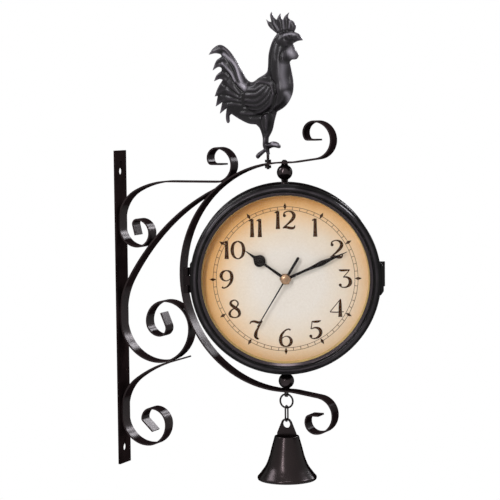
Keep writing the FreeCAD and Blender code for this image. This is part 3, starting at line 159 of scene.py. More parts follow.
def painted_iron(name, dark, brown, gloss, level, grain):
    """Sprayed paint on iron: brown patches in the black, slight waves and uneven gloss."""
    shader = Shader(name)
    patches = shader.noise(28, 5)
    shader.set(Base_Color=shader.ramp(patches, (0.35, dark), (0.72, brown)))
    cloud = shader.noise(160, 3)
    shader.set(Roughness=shader.between(cloud, gloss - 0.03, gloss + 0.06))
    waves = shader.noise(110, 2)
    shader.bump(waves, grain, strength=0.5)
    shader.shine(level, fade=0.6)
    shader.set(Specular_Tint=(1.0, 0.80, 0.82, 1))
    return shader.material


def rubbed_bezel():
    """Black enamel with painted highlights: lighter beside the inner lip and on the crest of the bead."""
    inner, outer = 88 * MM, 100 * MM
    # lip and crest are painted highlights on the inner lip and the bead's crest; dark is the enamel
    # itself
    dark, lip, crest_highlight = (0.0024, 0.0017, 0.0018), (0.040, 0.034, 0.040), (0.044, 0.038, 0.042)
    shader = Shader("rubbed_bezel")
    rings = shader.ramp(
        shader.share(shader.radius(), inner, outer),
        (0.04, lip),
        (0.22, lip),
        (0.30, dark),
        (0.46, dark),
        (0.56, crest_highlight),
        (0.76, dark),
    )
    wear = shader.ramp(shader.noise(60, 4), (0.30, (0.35, 0.35, 0.35)), (0.62, (1.0, 1.0, 1.0)))
    shader.set(Base_Color=shader.mix(0.9, rings, wear, "MULTIPLY"))
    shader.set(Roughness=shader.between(shader.noise(160, 3), 0.13, 0.21))
    shader.bump(shader.noise(110, 2), grain=0.03, strength=0.5)
    shader.shine(0.13, fade=0.8)
    return shader.material


def cast_charcoal():
    """Charcoal casting paint with pits, painted shade in hollows and painted highlights, ridges partly
    worn.
    """
    shader = Shader("cast_charcoal")
    # By pointiness: hollows darker as painted shade, ridges lighter as edge wear and painted highlight
    tone = shader.ramp(
        shader.add("NewGeometry").outputs["Pointiness"],
        (0.43, (0.0018, 0.0013, 0.0014)),
        (0.505, (0.0058, 0.0048, 0.0056)),
        (0.54, (0.024, 0.020, 0.024)),
        (0.58, (0.085, 0.076, 0.086)),
    )
    # Painted highlights: a point attribute lightens the casting towards pale grey where light would catch
    # it
    painted_highlight = shader.add("Attribute", attribute_name="painted_highlight").outputs["Fac"]
    shader.set(Base_Color=shader.mix(painted_highlight, tone, (0.290, 0.272, 0.300, 1)))
    cloud = shader.noise(120, 4)
    shader.set(Roughness=shader.between(cloud, 0.27, 0.34))
    pits = shader.noise(240, 2, 0.5)
    shader.bump(pits, grain=0.1, strength=0.25)
    shader.shine(0.22, fade=0.9)
    return shader.material


def worn_steel(name, tone, gloss):
    """Bare or blackened metal with a fine grain."""
    shader = Shader(name)
    cloud = shader.noise(200, 4)
    light = tuple(min(1.0, part * 1.5) for part in tone)
    shader.set(Base_Color=shader.ramp(cloud, (0.3, tone), (0.75, light)), Metallic=1.0)
    shader.set(Roughness=shader.between(shader.noise(700, 2), gloss - 0.08, gloss + 0.12))
    shader.bump(shader.noise(1500, 2), grain=0.03, strength=0.4)
    return shader.material


def moulded(name, tone, gloss, grain):
    """Moulded plastic or pressed card with a fine grain."""
    shader = Shader(name)
    cloud = shader.noise(90, 3)
    lighter = tuple(part * 1.25 for part in tone)
    shader.set(Base_Color=shader.ramp(cloud, (0.3, tone), (0.8, lighter)))
    shader.set(Roughness=shader.between(shader.noise(500, 3), gloss - 0.05, gloss + 0.08))
    shader.bump(shader.noise(2500, 2), grain, strength=0.5)
    return shader.material


def clear_glass():
    """Thin flat pane: mirror at a glance, clear straight on, with faint smears."""
    shader = Shader("clear_glass")
    fresnel = shader.add("Fresnel", {"IOR": 1.45}).outputs["Fac"]
    shader.set(Base_Color=(1, 1, 1, 1), Metallic=1.0, Alpha=shader.between(fresnel, 0.0, 0.2))
    shader.set(Roughness=shader.between(shader.noise(40, 3), 0.015, 0.05))
    return shader.material


def dial_paper():
    """Aged printed card: cream middle, peach ring, mottled amber edge, reaching further in at the upper
    left as painted shade.
    """
    amber_radius, cloud_width, shade_lean_share = 104 * MM, 14 * MM, 0.12
    shader = Shader("dial_paper")
    parts = shader.add("SeparateXYZ", {"Vector": shader.coords}).outputs
    # Painted shade: the amber edge reaches further in towards the upper left and less far towards the
    # lower right
    shade_lean = shader.math("SUBTRACT", parts["Y"], parts["X"])
    shade_drift = shader.math("MULTIPLY", shade_lean, shade_lean_share)
    cloud = shader.math("MULTIPLY", shader.math("SUBTRACT", shader.noise(36, 4), 0.5), cloud_width)
    edge = shader.math("ADD", shader.math("ADD", shader.radius(), shade_drift), cloud)
    tone = shader.ramp(
        shader.math("DIVIDE", edge, amber_radius),
        (0.32, (0.830, 0.775, 0.680)),
        (0.54, (0.830, 0.720, 0.565)),
        (0.67, (0.835, 0.630, 0.410)),
        (0.78, (0.800, 0.510, 0.245)),
        (0.88, (0.700, 0.375, 0.125)),
        (1.00, (0.520, 0.225, 0.050)),
    )
    mottle = shader.ramp(shader.noise(420, 3), (0.3, (0.93, 0.92, 0.90)), (0.7, (1.0, 1.0, 1.0)))
    shader.set(Base_Color=shader.mix(0.8, tone, mottle, "MULTIPLY"))
    shader.set(Roughness=shader.between(shader.noise(300, 2), 0.5, 0.65), Specular_IOR_Level=0.2)
    shader.bump(shader.noise(1800, 3), grain=0.02, strength=0.4)
    return shader.material


def ink(name, tone, faded):
    """Printing ink that has worn a little into the card."""
    shader = Shader(name)
    wear = shader.noise(700, 4, 0.7)
    shader.set(Base_Color=shader.ramp(wear, (0.35, tone), (0.75, faded)))
    shader.set(Roughness=shader.between(shader.noise(300, 2), 0.45, 0.6), Specular_IOR_Level=0.05)
    return shader.material


def cell_wrap(side):
    """Shrink wrap of a plain cell: dark sleeve with a copper band towards its nub."""
    band_start, band_end = 10 * MM, 11 * MM
    shader = Shader(side + "_cell_wrap")
    axis = face_matrix(side).to_3x3() @ Vector((1, 0, 0))
    offset = shader.vector("SUBTRACT", shader.coords, CLOCK)["Vector"]
    along = shader.vector("DOT_PRODUCT", offset, axis)["Value"]
    band = shader.share(along, band_start, band_end)
    shader.set(Base_Color=shader.ramp(band, (0.0, (0.02, 0.02, 0.022)), (1.0, (0.62, 0.33, 0.14))))
    shader.set(Roughness=shader.between(shader.noise(400, 2), 0.2, 0.3))
    shader.bump(shader.noise(1200, 2), grain=0.02, strength=0.3)
    return shader.material


strip_paint = painted_iron(
    "strip_paint", (0.0070, 0.0045, 0.0048), (0.0150, 0.0095, 0.0095), gloss=0.24, level=0.25, grain=0.01
)
plate_paint = painted_iron(
    "plate_paint", (0.0055, 0.0033, 0.0033), (0.0150, 0.0095, 0.0092), gloss=0.50, level=0.005, grain=0.12
)
case_paint = painted_iron(
    "case_paint", (0.0030, 0.0020, 0.0021), (0.0055, 0.0037, 0.0040), gloss=0.15, level=0.14, grain=0.03
)
ball_paint = painted_iron(
    "ball_paint", (0.0035, 0.0027, 0.0029), (0.0060, 0.0045, 0.0047), gloss=0.17, level=0.42, grain=0.02
)
bell_paint = painted_iron(
    "bell_paint", (0.0022, 0.0015, 0.0015), (0.0060, 0.0040, 0.0037), gloss=0.22, level=0.29, grain=0.04
)
hand_paint = painted_iron(
    "hand_paint", (0.0040, 0.0030, 0.0027), (0.0070, 0.0050, 0.0042), gloss=0.45, level=0.05, grain=0.03
)
# The bezel's paint carries painted highlights on its lip and bead
bezel_paint = rubbed_bezel()
# A glossier black for the inner lip, its tone a little lighter than the bezel's as painted highlight
lip_paint = painted_iron(
    "lip_paint", (0.0090, 0.0072, 0.0085), (0.0160, 0.0130, 0.0152), gloss=0.19, level=0.62, grain=0.01
)
rooster_paint = cast_charcoal()
dark_steel = worn_steel("dark_steel", (0.020, 0.017, 0.017), gloss=0.36)
bright_steel = worn_steel("bright_steel", (0.45, 0.44, 0.42), gloss=0.28)
brass = worn_steel("brass", (0.24, 0.150, 0.090), gloss=0.30)
copper_wire = worn_steel("copper_wire", (0.50, 0.22, 0.10), gloss=0.35)
black_plastic = moulded("black_plastic", (0.022, 0.022, 0.023), gloss=0.48, grain=0.05)
wheel_plastic = moulded("wheel_plastic", (0.78, 0.77, 0.72), gloss=0.35, grain=0.02)
glass = clear_glass()
paper = dial_paper()
number_ink = ink("number_ink", (0.036, 0.0135, 0.0040), (0.070, 0.028, 0.010))
track_ink = ink("track_ink", (0.085, 0.042, 0.022), (0.190, 0.100, 0.052))
grey_board = moulded("grey_board", (0.30, 0.28, 0.25), gloss=0.70, grain=0.04)
spacer_card = moulded("spacer_card", (0.42, 0.30, 0.10), gloss=0.45, grain=0.02)

# Which CAD nodes carry which material, once or on each side
NODE_PAINTS = [
    (plate_paint, ["wall_plate"]),
    (strip_paint, ["hoop", "upper_scroll", "support_scroll", "lower_scroll"]),
    (dark_steel, ["top_bolt", "bottom_eye_bolt", "pivot_nuts", "clamp_nuts"]),
    (dark_steel, ["hanging_ring", "link", "clapper"]),
    (ball_paint, ["ball_spacers"]),
    (rooster_paint, ["rooster"]),
    (bell_paint, ["bell", "bell_eye"]),
    (case_paint, ["drum", "case_hinge_leaves"]),
    (bright_steel, ["hinge_pins", "latch_catches"]),
]
SIDE_PAINTS = [
    (bezel_paint, ["bezel"]),
    (case_paint, ["hinge_leaf"]),
    (glass, ["glass"]),
    (paper, ["dial"]),
    (black_plastic, ["movement_case", "movement_cover"]),
    (brass, ["stem_nut"]),
    (bright_steel, ["battery_contacts", "rotor"]),
    (copper_wire, ["drive_unit"]),
    (wheel_plastic, ["intermediate_wheel", "seconds_wheel", "third_wheel"]),
    (wheel_plastic, ["minute_wheel", "motion_wheel", "hour_wheel"]),
    (hand_paint, ["hour_hand", "minute_hand", "second_hand"]),
]


def paint_nodes(paint, names):
    for name in names:
        nodes[name].data.materials.clear()
        nodes[name].data.materials.append(paint)


for paint, names in NODE_PAINTS:
    paint_nodes(paint, names)
for side in SIDES:
    for paint, names in SIDE_PAINTS:
        paint_nodes(paint, [f"{side}_{name}" for name in names])
    paint_nodes(cell_wrap(side), [side + "_battery"])


# Mesh helpers
def new_piece(name, mesh, body, paint, replaced=(), place=None, smooth=True):
    """Adds a finished mesh to the scene, on its body, in the stead of CAD nodes."""
    piece = bpy.data.objects.new(name, mesh)
    bpy.context.scene.collection.objects.link(piece)
    for each in paint if isinstance(paint, list) else [paint]:
        mesh.materials.append(each)
    if smooth:
        mesh.polygons.foreach_set("use_smooth", [True] * len(mesh.polygons))
    if place is not None:
        piece.matrix_world = place
    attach(piece, body)
    if replaced:
        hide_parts(*replaced)
    return piece


def mesh_of(name, points, faces):
    mesh = bpy.data.meshes.new(name)
    mesh.from_pydata([tuple(point) for point in points], [], faces)
    mesh.update()
    return mesh


def keep_edges(piece, degrees):
    """Smooth shading that stays crisp at edges sharper than an angle."""
    piece.data.set_sharp_from_angle(angle=math.radians(degrees))


def lathe(name, profile, steps, closed=True):
    """A mesh turned about Z from (radius, height) pairs in millimetres."""
    points, faces = [], []
    count = len(profile)
    for step in range(steps):
        angle = 2 * math.pi * step / steps
        points += [(r * math.cos(angle) * MM, r * math.sin(angle) * MM, z * MM) for r, z in profile]
    spans = count if closed else count - 1
    for step in range(steps):
        here, there = step * count, (step + 1) % steps * count
        for span in range(spans):
            after = (span + 1) % count
            faces.append((here + span, there + span, there + after, here + after))
    return mesh_of(name, points, faces)


def prism(outline, back, front):
    """A closed prism over an outline, all in millimetres, and its front face."""
    solid = bmesh.new()
    low = [solid.verts.new((x * MM, y * MM, back * MM)) for x, y in outline]
    high = [solid.verts.new((x * MM, y * MM, front * MM)) for x, y in outline]
    count = len(outline)
    solid.faces.new(low[::-1])
    top = solid.faces.new(high)
    for here in range(count):
        after = (here + 1) % count
        solid.faces.new((low[here], low[after], high[after], high[here]))
    bmesh.ops.recalc_face_normals(solid, faces=solid.faces)
    return solid, top


def smooth_line(points, per_span):
    """Points on a smooth line through the given ones, all their values carried along."""
    given = np.asarray(points, float)
    padded = np.vstack([2 * given[0] - given[1], given, 2 * given[-1] - given[-2]])
    out = []
    for before, start, end, after in zip(padded, padded[1:], padded[2:], padded[3:]):
        slope = end - before
        bend = 2 * before - 5 * start + 4 * end - after
        twist = 3 * start - before - 3 * end + after
        for step in range(per_span):
            t = step / per_span
            out.append(0.5 * (2 * start + slope * t + bend * t**2 + twist * t**3))
    out.append(given[-1])
    return np.array(out)


def soften(piece, width):
    """Rounds the sharp edges of a piece a little, as paint and handling do."""
    bevel = piece.modifiers.new("soft_edges", "BEVEL")
    bevel.width = width * MM
    bevel.segments = 2
    bevel.limit_method = "ANGLE"
    bevel.angle_limit = math.radians(35)
    bevel.harden_normals = True


# Rooster: outline spans in shares of its size from the stud's foot, each going on from the last
ROOSTER_LENGTH, ROOSTER_HEIGHT = 110, 150
ROOSTER_SHARES = [
    # back of the neck, saddle, front of the tail to its top tip
    [
        (0.058, 0.793), (0.020, 0.710), (0.008, 0.604), (-0.014, 0.571), (-0.086, 0.541),
        (-0.154, 0.512), (-0.211, 0.527), (-0.265, 0.589), (-0.339, 0.678), (-0.416, 0.746),
        (-0.497, 0.779), (-0.571, 0.757), (-0.623, 0.711),
    ],
    # tail feathers, each an under edge and an upper edge
    [(-0.554, 0.719), (-0.496, 0.711), (-0.484, 0.695)],
    [(-0.543, 0.665), (-0.582, 0.599)],
    [(-0.527, 0.621), (-0.488, 0.615), (-0.486, 0.594)],
    [(-0.539, 0.565), (-0.569, 0.522)],
    [(-0.510, 0.536), (-0.475, 0.530)],
    [(-0.529, 0.473), (-0.563, 0.413)],
    [(-0.530, 0.417)],
    [(-0.553, 0.342)],
    [(-0.482, 0.372)],
    [(-0.509, 0.291)],
    [(-0.435, 0.329)],
    # hanging plume
    [
        (-0.445, 0.272), (-0.438, 0.233), (-0.420, 0.222), (-0.405, 0.237), (-0.406, 0.272),
        (-0.386, 0.288),
    ],
    # belly and back of the leg
    [(-0.293, 0.248), (-0.201, 0.218), (-0.120, 0.211)],
    [(-0.082, 0.182), (-0.054, 0.121), (-0.053, 0.063), (-0.042, 0.039)],
    # back toe, foot, front toe
    [(-0.106, 0.010), (-0.128, -0.013), (-0.106, -0.031), (-0.077, -0.013), (-0.024, 0.019)],
    [(-0.006, 0.002), (0.021, 0.001)],
    [(0.015, 0.025), (0.016, 0.040)],
    [(0.062, 0.050), (0.124, 0.044), (0.133, 0.063), (0.102, 0.085), (0.051, 0.092), (0.010, 0.082)],
    # front of the leg, breast, wattle
    [(0.007, 0.113), (0.049, 0.170), (0.076, 0.246), (0.099, 0.299)],
    [(0.191, 0.341), (0.254, 0.408), (0.274, 0.480), (0.261, 0.563), (0.237, 0.646)],
    [(0.257, 0.661), (0.308, 0.666), (0.330, 0.694), (0.297, 0.732), (0.272, 0.774)],
    # beak
    [(0.320, 0.790), (0.376, 0.795)],
    [(0.338, 0.837), (0.287, 0.856)],
    # comb from the front to the back
    [(0.305, 0.893), (0.277, 0.928), (0.241, 0.941)],
    [(0.223, 0.963), (0.235, 0.991)],
    [(0.193, 0.967), (0.170, 0.938)],
    [(0.151, 0.953), (0.144, 0.986)],
    [(0.121, 0.965), (0.105, 0.941)],
    [(0.074, 0.962), (0.051, 0.999)],
    [(0.037, 0.975), (0.050, 0.929)],
    [(0.022, 0.933), (-0.004, 0.947)],
    [(0.027, 0.895), (0.108, 0.846)],
]

# Swells of the body: middle, half axes and half width, the last as a share of the length
SWELL_SHARES = [
    (-0.02, 0.415, 0.25, 0.135, 0.092),
    (0.14, 0.60, 0.10, 0.21, 0.074),
    (0.19, 0.795, 0.085, 0.055, 0.060),
    (0.0, 0.235, 0.060, 0.085, 0.060),
    (0.16, 0.44, 0.10, 0.10, 0.082),
    (-0.30, 0.44, 0.14, 0.16, 0.050),
]

# Lines of the relief: rise (a groove is below 0) and half width in millimetres, points in shares
RELIEF = [
    # two sickle feathers of the tail and the valley below each
    (1.5, 2.2, [
        (-0.590, 0.715), (-0.454, 0.748), (-0.378, 0.704), (-0.314, 0.624), (-0.261, 0.523),
        (-0.207, 0.479),
    ]),
    (1.3, 2.2, [(-0.556, 0.612), (-0.445, 0.640), (-0.391, 0.592), (-0.315, 0.520), (-0.229, 0.460)]),
    (-1.3, 1.1, [
        (-0.480, 0.690), (-0.433, 0.690), (-0.379, 0.645), (-0.325, 0.580), (-0.282, 0.519),
        (-0.230, 0.490),
    ]),
    (-1.2, 1.1, [(-0.480, 0.590), (-0.430, 0.585), (-0.370, 0.540), (-0.300, 0.480), (-0.240, 0.440)]),
    # lower tail feathers
    (0.8, 1.8, [(-0.550, 0.520), (-0.460, 0.535), (-0.380, 0.495), (-0.280, 0.430)]),
    (0.6, 1.7, [(-0.545, 0.420), (-0.460, 0.455), (-0.370, 0.435), (-0.270, 0.400)]),
    (0.5, 1.6, [(-0.535, 0.350), (-0.440, 0.390), (-0.350, 0.390), (-0.270, 0.375)]),
    (0.5, 1.5, [(-0.495, 0.300), (-0.410, 0.345), (-0.330, 0.355), (-0.270, 0.350)]),
    (-1.0, 0.9, [(-0.470, 0.500), (-0.380, 0.465), (-0.280, 0.415)]),
    (-1.0, 0.9, [(-0.480, 0.425), (-0.380, 0.415), (-0.280, 0.388)]),
    (-0.9, 0.9, [(-0.460, 0.365), (-0.360, 0.374), (-0.270, 0.363)]),
    # edge of the wing, the groove around it and the edges of its feathers
    (1.2, 1.3, [(-0.156, 0.501), (-0.038, 0.512), (0.069, 0.487), (0.097, 0.424)]),
    (1.2, 1.3, [(0.097, 0.424), (0.059, 0.354), (-0.048, 0.300), (-0.166, 0.288), (-0.274, 0.293)]),
    (-1.2, 1.2, [(-0.150, 0.525), (-0.030, 0.536), (0.092, 0.508), (0.126, 0.424)]),
    (-1.2, 1.2, [(0.126, 0.424), (0.083, 0.340), (-0.040, 0.277), (-0.166, 0.266)]),
    (0.6, 0.8, [(-0.177, 0.456), (-0.091, 0.456), (-0.023, 0.487)]),
    (0.6, 0.8, [(-0.203, 0.420), (-0.081, 0.422), (-0.001, 0.462), (0.020, 0.484)]),
    (0.6, 0.8, [(-0.216, 0.383), (-0.081, 0.380), (0.020, 0.428), (0.054, 0.470)]),
    (0.6, 0.8, [(-0.224, 0.352), (-0.070, 0.347), (0.037, 0.396), (0.072, 0.445)]),
    (0.6, 0.8, [(-0.241, 0.324), (-0.070, 0.319), (0.042, 0.364), (0.084, 0.417)]),
    (-0.5, 0.9, [(-0.190, 0.438), (-0.086, 0.439), (-0.012, 0.475)]),
    (-0.5, 0.9, [(-0.210, 0.402), (-0.081, 0.401), (0.010, 0.445), (0.037, 0.477)]),
    (-0.5, 0.9, [(-0.220, 0.367), (-0.075, 0.363), (0.028, 0.412), (0.063, 0.457)]),
    (-0.5, 0.9, [(-0.232, 0.338), (-0.070, 0.333), (0.040, 0.380), (0.078, 0.431)]),
    # front of the neck and breast
    (0.8, 4.5, [(0.135, 0.650), (0.150, 0.560), (0.165, 0.470)]),
    # face: brow, mouth, wattle
    (0.9, 0.8, [(0.142, 0.830), (0.196, 0.846), (0.243, 0.829)]),
    (-1.6, 0.8, [(0.227, 0.808), (0.259, 0.797), (0.301, 0.790), (0.345, 0.787)]),
    (-1.3, 0.9, [(0.225, 0.752), (0.178, 0.715), (0.168, 0.675), (0.190, 0.640), (0.240, 0.636)]),
    # comb grooves
    (-1.0, 0.8, [(0.105, 0.935), (0.118, 0.895), (0.140, 0.862)]),
    (-1.0, 0.8, [(0.168, 0.932), (0.175, 0.895), (0.185, 0.866)]),
    (-1.0, 0.8, [(0.235, 0.938), (0.232, 0.905), (0.228, 0.868)]),
    (-0.8, 0.8, [(0.052, 0.925), (0.075, 0.895), (0.105, 0.868)]),
    (-0.9, 0.8, [(0.108, 0.848), (0.160, 0.856), (0.220, 0.862), (0.285, 0.856)]),
    # thigh and toes
    (1.4, 2.4, [(0.007, 0.275), (0.017, 0.227), (0.005, 0.155), (-0.012, 0.098)]),
    (0.8, 1.2, [(-0.060, 0.250), (-0.030, 0.190), (-0.020, 0.140)]),
    (1.6, 1.6, [(-0.015, 0.110), (-0.018, 0.070), (-0.010, 0.030)]),
    (1.5, 1.5, [(0.004, 0.066), (0.057, 0.068), (0.110, 0.064)]),
    (1.4, 1.4, [(-0.030, 0.028), (-0.070, 0.005), (-0.105, -0.012)]),
]
# Round bumps: rise, radius in millimetres, place in shares
BUMPS = [
    (1.3, 1.7, (0.196, 0.826)),
    (0.8, 1.1, (0.275, 0.824)),
    (1.8, 4.2, (0.265, 0.700)),
    (1.0, 3.0, (0.215, 0.690)),
]
# Painted highlights, places painted lighter where light catches the casting: strength, half width in
# millimetres, points in shares
PAINTED_HIGHLIGHTS = [
    (0.9, 1.6, [(-0.450, 0.711), (-0.335, 0.641), (-0.281, 0.557), (-0.252, 0.510)]),
    (0.9, 2.2, [(-0.255, 0.500), (-0.215, 0.470)]),
    (0.7, 0.9, [(-0.467, 0.648), (-0.370, 0.578), (-0.322, 0.520)]),
    (0.42, 3.4, [(0.190, 0.620), (0.186, 0.557), (0.205, 0.480)]),
    (0.75, 2.2, [(0.228, 0.430), (0.241, 0.400), (0.235, 0.370)]),
    (0.7, 3.6, [(0.251, 0.722), (0.280, 0.697)]),
    (0.7, 0.9, [(0.200, 0.833), (0.255, 0.842), (0.300, 0.836)]),
    (0.8, 1.1, [(0.040, 0.100), (0.057, 0.078), (0.110, 0.068)]),
    (0.4, 0.8, [(0.083, 0.921), (0.132, 0.872)]),
    (0.4, 0.8, [(0.178, 0.935), (0.187, 0.879)]),
    (0.4, 0.8, [(0.254, 0.938), (0.241, 0.886)]),
]


def rooster_point(share):
    return share[0] * ROOSTER_LENGTH, share[1] * ROOSTER_HEIGHT


def line_distance(points, line):
    """Shortest distance from each point to a chain of straight runs."""
    best = np.full(len(points), np.inf)
    for start, end in zip(line[:-1], line[1:]):
        run = end - start
        along = np.clip(((points - start) @ run) / max(run @ run, 1e-9), 0, 1)
        best = np.minimum(best, np.linalg.norm(points - start - along[:, None] * run, axis=1))
    return best


def line_weight(points, shares, half):
    """Weight of each point beside a smooth line: 1 on it, fading with the half width."""
    path = smooth_line([rooster_point(share) for share in shares], 5)
    return np.exp(-((line_distance(points, path) / half) ** 2))


def rooster_rim():
    """The outline in even steps, corners kept."""
    spacing = 0.8
    rim = []
    start = ROOSTER_SHARES[-1][-1]
    for span in ROOSTER_SHARES:
        line = smooth_line([rooster_point(share) for share in [start, *span]], 12)
        start = span[-1]
        lengths = np.concatenate([[0], np.cumsum(np.linalg.norm(np.diff(line, axis=0), axis=1))])
        count = max(2, round(lengths[-1] / spacing))
        stations = np.linspace(0, lengths[-1], count + 1)[:-1]
        along = np.interp(stations, lengths, line[:, 0])
        up = np.interp(stations, lengths, line[:, 1])
        rim.append(np.column_stack([along, up]))
    return np.vstack(rim)


def rooster_relief(points, rim):
    """Half thickness of the casting over each point inside its outline."""
    thin, flank, thick = 0.5, 2.4, 10.2
    rounding, swell_fade, line_fade, blend = 3.2, 5.0, 1.5, 1.4
    edge = line_distance(points, np.vstack([rim, rim[:1]]))
    inward = np.clip(edge / rounding, 0, 1)
    height = thin + (flank - thin) * np.sqrt(1 - (1 - inward) ** 2)
    fade = np.clip(edge / swell_fade, 0, 1)
    for along, up, half_length, half_height, half_width in SWELL_SHARES:
        middle = np.array(rooster_point((along, up)))
        axes = np.array(rooster_point((half_length, half_height)))
        inside = np.clip(1 - (((points - middle) / axes) ** 2).sum(axis=1), 0, None)
        swell = half_width * ROOSTER_LENGTH * np.sqrt(inside) * np.sqrt(fade)
        height = np.log(np.exp(height * blend) + np.exp(swell * blend) - 1) / blend
    lift = np.zeros(len(points))
    for rise, half, shares in RELIEF:
        lift += rise * line_weight(points, shares, half)
    for rise, radius, place in BUMPS:
        gap = np.linalg.norm(points - np.array(rooster_point(place)), axis=1)
        lift += rise * np.exp(-((gap / radius) ** 2))
    return np.clip(height + lift * np.clip(edge / line_fade, 0, 1), thin, thick)


def rooster_rubbing(points):
    """How strongly each point carries the painted highlight, from 0 to 1."""
    painted_highlight = np.zeros(len(points))
    for strength, half, shares in PAINTED_HIGHLIGHTS:
        painted_highlight = np.maximum(painted_highlight, strength * line_weight(points, shares, half))
    return painted_highlight


def build_rooster():
    """The casting: two relief skins, mirrored, joined round the outline."""
    step, clear_share, inside_only, merge = 0.9, 0.45, 1, 1e-5
    rim = rooster_rim()
    low, high = rim.min(axis=0), rim.max(axis=0)
    columns, rows = np.meshgrid(np.arange(low[0], high[0], step), np.arange(low[1], high[1], step))
    columns = columns + np.where(np.arange(columns.shape[0]) % 2, step / 2, 0)[:, None]
    grid = np.column_stack([columns.ravel(), rows.ravel()])
    grid = grid[line_distance(grid, np.vstack([rim, rim[:1]])) > clear_share * step]
    count = len(rim)
    flat = [Vector(point) for point in np.vstack([rim, grid])]
    edges = [(index, (index + 1) % count) for index in range(count)]
    made, _, faces, *_ = delaunay_2d_cdt(flat, edges, [], inside_only, merge)
    spots = np.array([tuple(point) for point in made])
    half = rooster_relief(spots, rim)
    front = [(x, -h, z) for (x, z), h in zip(spots, half)]
    back = [(x, h, z) for (x, z), h in zip(spots, half)]
    points = [ROOSTER_FOOT + Vector(point) * MM for point in front + back]
    total = len(front)
    front_skin = [tuple(face) for face in faces]
    back_skin = [tuple(index + total for index in reversed(face)) for face in faces]
    runs = dict.fromkeys(run for face in faces for run in zip(face, face[1:] + face[:1]))
    border = [(b, a, a + total, b + total) for a, b in runs if (b, a) not in runs]
    mesh = mesh_of("rooster_casting", points, front_skin + back_skin + border)
    tidy = bmesh.new()
    tidy.from_mesh(mesh)
    bmesh.ops.recalc_face_normals(tidy, faces=tidy.faces)
    tidy.to_mesh(mesh)
    tidy.free()
    # The painted highlights, kept on the points of both skins
    painted_highlight = mesh.attributes.new("painted_highlight", "FLOAT", "POINT")
    painted_highlight.data.foreach_set("value", np.tile(rooster_rubbing(spots), 2))
    new_piece("rooster_casting", mesh, "bracket", rooster_paint, ["rooster"])


def build_rooster_stud():
    """Threaded stud from inside the foot down to the CAD's own end."""
    radius, depth, pitch, top, cover, hair = 1.6, 0.18, 0.7, 3.8, 0.5, 0.05
    end = (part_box("rooster")[0].z - ROOSTER_FOOT.z) / MM
    turns = int((top - end) / (pitch / 2))
    thread = [(radius - depth * (turn % 2), top - pitch / 2 * turn) for turn in range(turns)]
    profile = [(hair, top + cover)] + thread + [(radius - depth, end), (hair, end)]
    mesh = lathe("rooster_stud", profile, 24, closed=False)
    place = Matrix.Translation(ROOSTER_FOOT)
    new_piece("rooster_stud", mesh, "bracket", dark_steel, place=place)


# Dial, its print and the bezel of each face, in the face's own millimetres
DIAL_FRONT = 21.8
NUMBER_HEIGHT, NUMBER_RADIUS = 19.0, 62.0
BALL_SHARE, SPREAD_SHARE, WEIGHT_SHARE, DIGIT_GAP_SHARE = 0.085, 1.22, 1.28, 0.11
